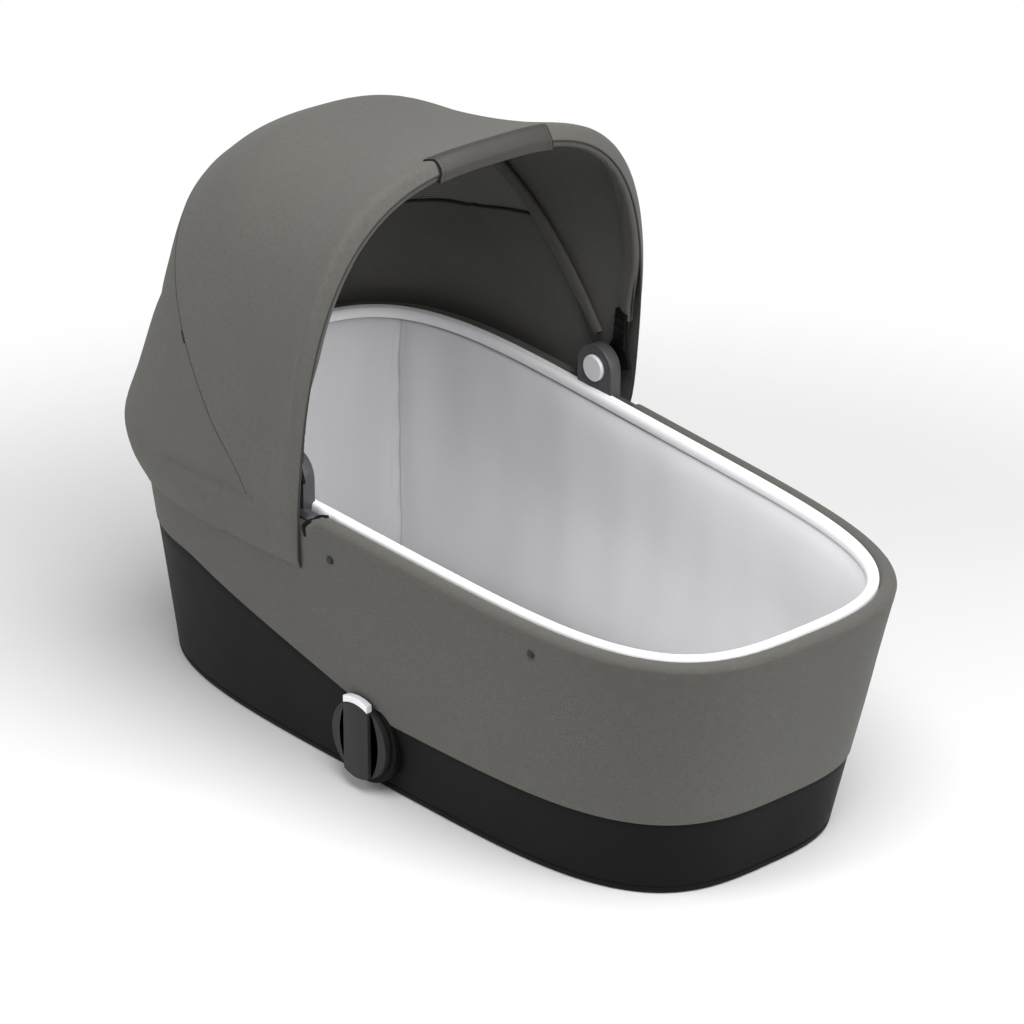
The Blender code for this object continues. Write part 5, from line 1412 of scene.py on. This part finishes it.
# %% [markdown]
# ## Stitches
# A seam shows its thread as a row of short stitches. Geometry Nodes place them: the line is cut into even
# steps, one small rounded stitch is set on each step and turned along the line, and the result is made real
# and given the thread's material.

# %% Stitch group


def make_stitch_group():
    """Small rounded stitches at even steps along a line, turned along it."""
    tree = bpy.data.node_groups.new("stitch row", "GeometryNodeTree")
    for label, kind, value in (("Line", "Geometry", None), ("Pitch", "Float", 4.0 * MM),
                               ("Length", "Float", 2.6 * MM), ("Thickness", "Float", 0.3 * MM),
                               ("Thread", "Material", None)):
        socket = tree.interface.new_socket(name=label, in_out="INPUT", socket_type="NodeSocket" + kind)
        if value is not None:
            socket.default_value = value
    tree.interface.new_socket(name="Stitches", in_out="OUTPUT", socket_type="NodeSocketGeometry")
    takes = tree.nodes.new("NodeGroupInput").outputs
    steps = node(tree, "GeometryNodeCurveToPoints", [("Curve", takes["Line"]), ("Length", takes["Pitch"])],
                 mode="LENGTH").outputs
    ball = node(tree, "GeometryNodeMeshUVSphere", [("Segments", 6), ("Rings", 5), ("Radius", 1.0)])
    half = maths(tree, "MULTIPLY", takes["Length"], 0.5)
    form = node(tree, "ShaderNodeCombineXYZ", [(0, takes["Thickness"]), (1, takes["Thickness"]), (2, half)])
    placed = node(tree, "GeometryNodeInstanceOnPoints",
                  [("Points", steps["Points"]), ("Instance", ball.outputs["Mesh"]),
                   ("Rotation", steps["Rotation"]), ("Scale", form.outputs[0])])
    real = node(tree, "GeometryNodeRealizeInstances", [("Geometry", placed.outputs["Instances"])])
    painted = node(tree, "GeometryNodeSetMaterial",
                   [("Geometry", real.outputs["Geometry"]), ("Material", takes["Thread"])])
    node(tree, "NodeGroupOutput", [("Stitches", painted.outputs["Geometry"])])
    return tree


STITCHES = make_stitch_group()


def stitch_row(name, points, thread, pitch=4.0 * MM, length=2.6 * MM, thickness=0.3 * MM, closed=False):
    """A row of stitches along a line of points, as a plain mesh."""
    line = bpy.data.curves.new(name, "CURVE")
    line.dimensions = "3D"
    path = line.splines.new("POLY")
    path.points.add(len(points) - 1)
    path.points.foreach_set("co", [value for point in points for value in (*point, 1.0)])
    path.use_cyclic_u = closed
    guide = add_piece(name, line)
    work = guide.modifiers.new("stitches", "NODES")
    work.node_group = STITCHES
    values = {"Pitch": pitch, "Length": length, "Thickness": thickness, "Thread": thread}
    for item in STITCHES.interface.items_tree:
        if item.in_out == "INPUT" and item.name in values:
            work[item.identifier] = values[item.name]
    deps = bpy.context.evaluated_depsgraph_get()
    mesh = bpy.data.meshes.new_from_object(guide.evaluated_get(deps), depsgraph=deps)
    bpy.data.objects.remove(guide)
    mesh.name = name
    mesh.shade_smooth()
    return add_piece(name, mesh)


print("stitch group ready")

# %% [markdown]
# ## Seams of the hood
# The outside shows one sewn seam in front of the head panel and a bound front edge. The seam is a thin raised
# welt with a row of stitches beside it, and the front edge has its own row. In a small notch on each side,
# where the seam is folded, a short near-black tube is painted shadow.

# %% Hood seams
LAST_COLUMN = len(HOOD[0]) - 1
REAR_SEAM_ROW = REAR_ROW * ROW_STEPS
SEAM_SKIP = 9
SEAM_COLUMNS = range(SEAM_SKIP, LAST_COLUMN + 1 - SEAM_SKIP)
WELT_RADIUS, WELT_DEPTH, STITCHES_BESIDE = 0.55 * MM, 0.15 * MM, 0.45
BINDING_RADIUS, BINDING_DEPTH = 1.15 * MM, 0.75 * MM
EDGE_STITCH_ROW, EDGE_STITCH_DEPTH = 0.85, -0.05 * MM
NOTCH_RADIUS, NOTCH_DEPTH, NOTCH_BEHIND = 1.0 * MM, 0.1 * MM, 0.3
NOTCH_COLUMNS = {"near": (31.0, 31.8, 32.6, 33.4), "far": (137.0, 137.8, 138.6, 139.4)}

seam_line = [hood_point(REAR_SEAM_ROW, c, WELT_DEPTH) for c in SEAM_COLUMNS]
fold_along(tube("rear_seam", seam_line, WELT_RADIUS, TAPE_CLOTH, 6), REAR_SEAM_ROW, False)
stitch_line = [hood_point(REAR_SEAM_ROW - STITCHES_BESIDE, c) for c in SEAM_COLUMNS]
fold_along(stitch_row("rear_seam_stitches", stitch_line, GREY_THREAD), REAR_SEAM_ROW, False)
edge_line = [hood_point(0.0, c, BINDING_DEPTH) for c in range(LAST_COLUMN + 1)]
fold_along(tube("front_edge_binding", edge_line, BINDING_RADIUS, TAPE_CLOTH, 10), 0, True)
edge_stitches = [hood_point(EDGE_STITCH_ROW, c, EDGE_STITCH_DEPTH) for c in range(LAST_COLUMN + 1)]
fold_along(stitch_row("front_edge_stitches", edge_stitches, GREY_THREAD, 3.4 * MM, 2.2 * MM), EDGE_STITCH_ROW,
           True)
# Each notch gets a short near-black tube: painted shadow in the fold of the seam.
for side, columns in NOTCH_COLUMNS.items():
    notch_line = [hood_point(REAR_SEAM_ROW + NOTCH_BEHIND, c, NOTCH_DEPTH) for c in columns]
    notch = tube("seam_notch_shadow_" + side, notch_line, NOTCH_RADIUS, PAINTED_SHADOW_CLOTH, 8)
    fold_along(notch, REAR_SEAM_ROW, False)
print("hood seams ready")

# %% [markdown]
# ## Bows in their sleeves
# Inside the hood both bows run in sewn sleeves. A sleeve is a strip of lining that leaves the hood on one
# side of the bow, wraps it and comes back on the other side.

# %% Sleeves
# Sections of the sleeves in mm: (place behind the bow, inset), and (share of the way back, depth).
MID_SLEEVE = [(-6.0, 5.6), (-6.4, 7.6), (-5.0, 9.6), (-1.0, 10.2), (4.0, 9.1), (8.5, 8.0), (11.4, 6.6),
              (12.0, 5.0)]
FRONT_SLEEVE = [(0.03, 0.9), (0.04, 4.4), (0.1, 7.8), (0.22, 9.3), (0.4, 9.0), (0.58, 7.6), (0.74, 5.2),
                (0.88, 2.9), (0.98, 1.7)]
FRONT_SLEEVE_ROW, SLEEVE_SKIP = 15, 17
MID_SLEEVE_START = 70.0 * MM
SLEEVE_THICK = 0.5 * MM


def front_sleeve_grid():
    """Rows from the front edge to a row behind the shoulder, hung below the cloth round the bow."""
    grid = []
    for share, depth in FRONT_SLEEVE:
        line = []
        for c in range(SLEEVE_SKIP, LAST_COLUMN + 1 - SLEEVE_SKIP):
            away = (HOOD_NORMALS[VISOR_ROWS][c] + HOOD_NORMALS[FRONT_SLEEVE_ROW][c]).normalized()
            line.append(between(HOOD[0][c], HOOD[FRONT_SLEEVE_ROW][c], share) - away * depth * MM)
        grid.append(line)
    return grid


mid_sleeve_grid = [spline(mid_line(inset * MM, behind * MM, hem=False, start=MID_SLEEVE_START), COLUMN_STEPS)
                   for behind, inset in MID_SLEEVE]
mid_sleeve = cloth_shell("mid_bow_sleeve", mid_sleeve_grid, SLEEVE_THICK, [SLEEVE_CLOTH], flip=-1)
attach(mid_sleeve, "middle_bow")
front_grid = front_sleeve_grid()
front_sleeve = cloth_shell("front_bow_sleeve", front_grid, SLEEVE_THICK, [SLEEVE_CLOTH], flip=-1)
foot_set_back(front_sleeve)
fold_along(front_sleeve, 0, True)

# %% [markdown]
# ## The net
# Behind the middle bow a net lies just under the hood's top. It narrows towards its rounded rear end, and a
# tape runs round it, except along the bow.

# %% Net and border
NET_FIRST, NET_LAST = MID_BOW_ROW + 4, MID_BOW_ROW + 34
NET_COLUMNS, NET_DEPTH, NET_THICK = 90, 2.2 * MM, 0.6 * MM
NET_SKIP, NET_NARROWS, NET_NARROW_ROWS, NET_NARROW_POWER = 37.0, 3.2, 20, 1.2
NET_ELBOW, NET_ROUND, NET_ROUND_POWER = 59.5, 0.88, 1.4
BORDER_RADIUS, BORDER_SIDES = 2.0 * MM, 8


def net_column(row, share):
    """Column of the hood's grid for a place across the net, which narrows towards its rounded rear end."""
    narrowed = NET_NARROWS * ((row - NET_FIRST) / NET_NARROW_ROWS) ** NET_NARROW_POWER
    rounded = NET_ROUND * max(row - NET_ELBOW, 0.0) ** NET_ROUND_POWER
    skip = NET_SKIP + narrowed + rounded
    return between(skip, LAST_COLUMN - skip, share)


net_shares = [k / NET_COLUMNS for k in range(NET_COLUMNS + 1)]
net_grid = [[hood_point(r, net_column(r, share), NET_DEPTH) for share in net_shares]
            for r in range(NET_FIRST, NET_LAST + 1)]
net = cloth_shell("mesh_window_net", net_grid, NET_THICK, [NET_CLOTH], flip=-1, even=True)
fold_along(net, shell_rows(net, net_grid, NET_FIRST), False)
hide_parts("mesh_window")
border_path = [(r, net_column(r, 0.0)) for r in range(NET_FIRST, NET_LAST)]
border_path += [(NET_LAST, net_column(NET_LAST, share)) for share in net_shares]
border_path += [(r, net_column(r, 1.0)) for r in range(NET_LAST - 1, NET_FIRST - 1, -1)]
border_line = [hood_point(r, c, NET_DEPTH + NET_THICK) for r, c in border_path]
border = tube("mesh_window_border", border_line, BORDER_RADIUS, TAPE_CLOTH, BORDER_SIDES)
border_rows = [r for r, c in border_path for side in range(BORDER_SIDES)]
fold_along(border, border_rows, False)

# %% [markdown]
# ## The grip
# The leatherette grip is folded round the front edge. Its section runs from the top of the visor over the
# roll to the inside, and its ends are cut in a shallow curve.

# %% Grip
GRIP_HALF, GRIP_SHEET, GRIP_UNDER = 79.0 * MM, 1.8 * MM, 7.2 * MM
GRIP_DIP, GRIP_DIP_SHARE, GRIP_TAPER, GRIP_SHADOW_RADIUS = 4.0 * MM, 0.62, 8.0 * MM, 1.1 * MM
GRIP_TOP_SHARE, GRIP_INSIDE_SHARE = 0.86, 0.5
GRIP_COLUMNS = 60


def grip_section():
    """(share of the visor's width, inset, extra) round the grip's outside, from the top to the inside."""
    top_out = VISOR_ROLL * (1 - GRIP_TOP_SHARE) / (1 - VISOR_ROLL_SHARE) + GAP
    marks = [(GRIP_TOP_SHARE, -top_out - GRIP_SHEET, 0.0), (0.62, -VISOR_ROLL * 0.72 - GAP - GRIP_SHEET, 0.0),
             (VISOR_ROLL_SHARE, -VISOR_ROLL - GAP - GRIP_SHEET, -GAP),
             (0.15, -VISOR_ROLL * 0.62 - GAP - GRIP_SHEET, -1.5 * MM),
             (0.0, -GAP - GRIP_SHEET, -GAP - GRIP_SHEET), (0.0, GRIP_UNDER * 0.5, -GAP - 1.2 * GRIP_SHEET),
             (0.0, GRIP_UNDER + 0.6 * GRIP_SHEET, -GAP - GRIP_SHEET),
             (0.2, GRIP_UNDER + 1.1 * GRIP_SHEET, 0.0), (GRIP_INSIDE_SHARE, GRIP_UNDER + GRIP_SHEET, 0.0)]
    line = spline([Vector((share * SHOULDER_BEHIND, inset, extra)) for share, inset, extra in marks], 4)
    return [(point.x / SHOULDER_BEHIND, point.y, point.z) for point in line]


def grip_point(share, inset, extra, y):
    """A point of the grip: a share of the visor's width, moved in and back, at a place across."""
    half = between(EDGE_HALF, SHOULDER_HALF, share) - inset
    rise = between(EDGE_RISE, SHOULDER_RISE, share) - inset
    power = between(EDGE_POWER, SHOULDER_POWER, share)
    along = Vector((sin(EDGE_LEAN), 0.0, cos(EDGE_LEAN)))
    back = Vector((-cos(EDGE_LEAN), 0.0, sin(EDGE_LEAN)))
    base = Vector((EDGE_BASE_X, y, EDGE_BASE_Z)) + back * (SHOULDER_BEHIND * share + extra)
    return base + along * rise * (1 - (abs(y) / half) ** power) ** (1 / power)


section = grip_section()
grip_grid = []
for k, (share, inset, extra) in enumerate(section):
    dip = sin(pi * min(k / (len(section) * GRIP_DIP_SHARE), 1.0))
    reach = GRIP_HALF - GRIP_DIP * dip - GRIP_TAPER * k / len(section)
    grip_grid.append([grip_point(share, inset, extra, between(-reach, reach, c / GRIP_COLUMNS))
                      for c in range(GRIP_COLUMNS + 1)])
grip = cloth_shell("grip_cover", grip_grid, GRIP_SHEET, [LEATHERETTE], flip=-1)
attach(grip, "front_bow")
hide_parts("grip")
grip_normals = grid_normals(grip_grid, False)
for side, column, end in (("near", 2, 0), ("far", GRIP_COLUMNS - 2, GRIP_COLUMNS)):
    line = [row[column] - normals[column] * 0.05 * MM for row, normals in zip(grip_grid, grip_normals)]
    row = stitch_row("grip_stitches_" + side, line, TAPE_CLOTH, 3.2 * MM, 2.2 * MM, 0.35 * MM)
    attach(row, "front_bow")
    # A near-black tube along each cut end gives the grip's thick edge; its near-black tone is painted shade
    # on that edge.
    inner = [row[end] + normals[end] * GRIP_SHEET / 2 for row, normals in zip(grip_grid, grip_normals)]
    edge = tube("grip_edge_shadow_" + side, inner, GRIP_SHADOW_RADIUS, PAINTED_SHADOW_CLOTH, 8)
    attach(edge, "front_bow")
print("grip ready")

# %% [markdown]
# ## Seams of the tub
# The cover has a line of stitches under its rolled edge. On each side the liner has one upright seam with a
# narrow overlap beside it, and two fine lines run round the white band. The seam's welt and the band's lines
# are a greyed white thread, whose grey is painted shade in their grooves.

# %% Tub seams
LAP_WIDTH, LAP_UP, LAP_STEPS, LAP_FALL, LAP_THICK = 1.35, 1.4 * MM, 3, 0.75, 0.9 * MM
WELT_BESIDE, LINER_WELT = -0.12, 0.5 * MM
UNDER_ROLL, OVER_COVER = 0.45, 0.05 * MM


def liner_lap(mirror):
    """The overlap beside the liner's upright seam, and the seam's own line."""
    lap, line = [], []
    for share, row in zip(LINER_SHARES, LINER_GRID):
        across = []
        for step in range(LAP_STEPS + 1):
            place = seam_station(share) + LAP_WIDTH * step / LAP_STEPS
            i = int(place)
            rise = LAP_UP * (1.0 - LAP_FALL * step / LAP_STEPS)
            point = between(row[i], row[i + 1], place - i) + INWARD[i] * rise
            across.append(Vector((point.x, point.y * mirror, point.z)))
        lap.append(across)
        line.append(between(across[0], across[1], WELT_BESIDE))
    return lap, line


roll_line = [between(a, b, UNDER_ROLL) - inward * OVER_COVER
             for a, b, inward in zip(COVER_GRID[COVER_ROWS - 1], COVER_GRID[COVER_ROWS], INWARD)]
row = stitch_row("cover_stitches", roll_line, GREY_THREAD, 4.0 * MM, 2.6 * MM, 0.28 * MM, closed=True)
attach(row, "cot")
for side, mirror in (("far", 1), ("near", -1)):
    lap, line = liner_lap(mirror)
    strip = cloth_shell("liner_lap_" + side, lap, LAP_THICK, [LINER_CLOTH], flip=-mirror)
    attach(strip, "cot")
    # The welt's grey thread paints the shade of the seam's groove.
    welt = tube("liner_seam_" + side, spline(line, 3), LINER_WELT, GROOVE_SHADE_THREAD, 6)
    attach(welt, "cot")
for order, groove in enumerate(BAND_GROOVES, 1):
    line = tube("band_groove_%d" % order, band_rows[groove], GROOVE_THREAD, GROOVE_SHADE_THREAD, 6, closed=True)
    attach(line, "cot")
print("tub seams ready")

# %% [markdown]
# ## Gaps at the hinges
# Each hinge stands in a slit of the cover. A black tube runs from the outside of the wall up over the roll,
# in
# front of the bracket: the slit is real, its dark is painted shade. The far one is shorter, because its inner
# end would show above the rim.

# %% Hinge gaps
GAP_FOOT_X, GAP_FOOT_DROP = -50.0 * MM, 27.0 * MM
GAP_STAND_OFF, GAP_RADIUS = 0.4 * MM, 2.4 * MM
# Places on the roll as (x in mm, step round it), and how many of them each side uses.
GAP_PATH = ((-48.5, 1), (-46.0, 3), (-40.0, 5), (-33.0, 6), (-25.0, 7))
GAP_POINTS = {"near": 5, "far": 3}


def roll_point(x, step, mirror):
    """A point on the rolled top of the tub's cover, for a place along it and a step round it."""
    row = COVER_GRID[COVER_ROWS + step]
    for a, b in zip(row[:STATIONS // 2], row[1:STATIONS // 2 + 1]):
        if b.x <= x <= a.x:
            point = between(a, b, (x - a.x) / (b.x - a.x))
    return Vector((x, (point.y + GAP_STAND_OFF) * mirror, point.z + GAP_STAND_OFF))


foot_z = rim_height(GAP_FOOT_X) - GAP_FOOT_DROP
for side, mirror in (("near", -1), ("far", 1)):
    path = [Vector((GAP_FOOT_X, wall_y(GAP_FOOT_X, foot_z) * mirror, foot_z))]
    path += [roll_point(x * MM, step, mirror) for x, step in GAP_PATH[:GAP_POINTS[side]]]
    # The tube is painted shade in the slit, in the black plastic finish.
    cut = tube("hinge_gap_shade_" + side, spline(path, 6), GAP_RADIUS, BLACK_PLASTIC, 10)
    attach(cut, "cot")
print("hinge gaps ready")

# %% [markdown]
# ## The mattress
# The mattress is foam in a sewn cover. The CAD block is remeshed and its cover is blown up a little by a
# cloth simulation with inner pressure, which rounds the edges and pulls the seam in, as foam does in a tight
# cover. The growth is then limited, so that it stays clear of the liner.

# %% Mattress
MATTRESS_VOXEL = 6.0 * MM
MATTRESS_GROWTH = 2.5 * MM
MATTRESS_FRAMES = 16
SEAM_UP_SHARE, SEAM_HELD, FLOOR_HELD = 0.42, 0.6 * MATTRESS_VOXEL, 2.0 * MM
COVER_CLOTH = {"quality": 5, "mass": 0.15, "tension_stiffness": 12.0, "compression_stiffness": 12.0,
               "bending_stiffness": 2.0, "use_pressure": True, "uniform_pressure_force": 4.0,
               "vertex_group_mass": "held"}


def blown_up(piece, low, high):
    """Blow up the mattress's cover between its held seam and its held underside, by a few millimetres."""
    rest = [vertex.co.copy() for vertex in piece.data.vertices]
    seam_z = between(low.z, high.z, SEAM_UP_SHARE)
    held = piece.vertex_groups.new(name="held")
    for vertex in piece.data.vertices:
        if abs(vertex.co.z - seam_z) < SEAM_HELD or vertex.co.z < low.z + FLOOR_HELD:
            held.add([vertex.index], 1.0, "REPLACE")
    blown = piece.modifiers.new("blown", "CLOTH")
    for key, value in COVER_CLOTH.items():
        setattr(blown.settings, key, value)
    blown.settings.effector_weights.gravity = 0.0
    blown.point_cache.frame_end = MATTRESS_FRAMES
    for step in range(1, MATTRESS_FRAMES + 1):
        scene.frame_set(step)
    flatten(piece)
    scene.frame_set(1)
    grown = []
    for vertex, start in zip(piece.data.vertices, rest):
        change = vertex.co - start
        if change.length > MATTRESS_GROWTH:
            change = change.normalized() * MATTRESS_GROWTH
        vertex.co = start + change
        vertex.co.z = min(max(vertex.co.z, low.z), high.z + MATTRESS_GROWTH)
        grown.append(change.length)
    print("mattress grew", round(max(grown) * 1000, 1), "mm at most")


def flat_cover_map(mesh):
    """A UV map in metres for a block: its top, its long sides and its ends each lie flat."""
    place = mesh.uv_layers.new(name="cloth")
    for polygon in mesh.polygons:
        flat = abs(polygon.normal.z) > 0.6
        sideways = abs(polygon.normal.y) > abs(polygon.normal.x)
        for corner in polygon.loop_indices:
            co = mesh.vertices[mesh.loops[corner].vertex_index].co
            place.data[corner].uv = (co.x, co.y) if flat else ((co.x, co.z) if sideways else (co.y, co.z))


def make_mattress():
    """The mattress from its CAD block: remeshed, smoothed, blown up and covered."""
    low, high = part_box("mattress")
    mesh = frame["nodes"]["mattress"].data.copy()
    joined(mesh)
    mesh.materials.clear()
    piece = add_piece("mattress_pad", mesh)
    fine = piece.modifiers.new("fine", "REMESH")
    fine.mode = "VOXEL"
    fine.voxel_size = MATTRESS_VOXEL
    even = piece.modifiers.new("even", "SMOOTH")
    even.iterations = 6
    flatten(piece)
    blown_up(piece, low, high)
    flat_cover_map(piece.data)
    piece.data.shade_smooth()
    piece.data.materials.append(MATTRESS_CLOTH)
    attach(piece, "mattress")
    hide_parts("mattress")
    return piece


mattress = make_mattress()
print("mattress has", len(mattress.data.polygons), "faces")

# %% [markdown]
# ## Sizes and finish
# The outer box of everything visible is kept in one table next to the CAD box, so that the two can be
# compared.

# %% Finish
size = {"cad": CAD_BOX, "visual": [list(corner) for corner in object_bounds()]}
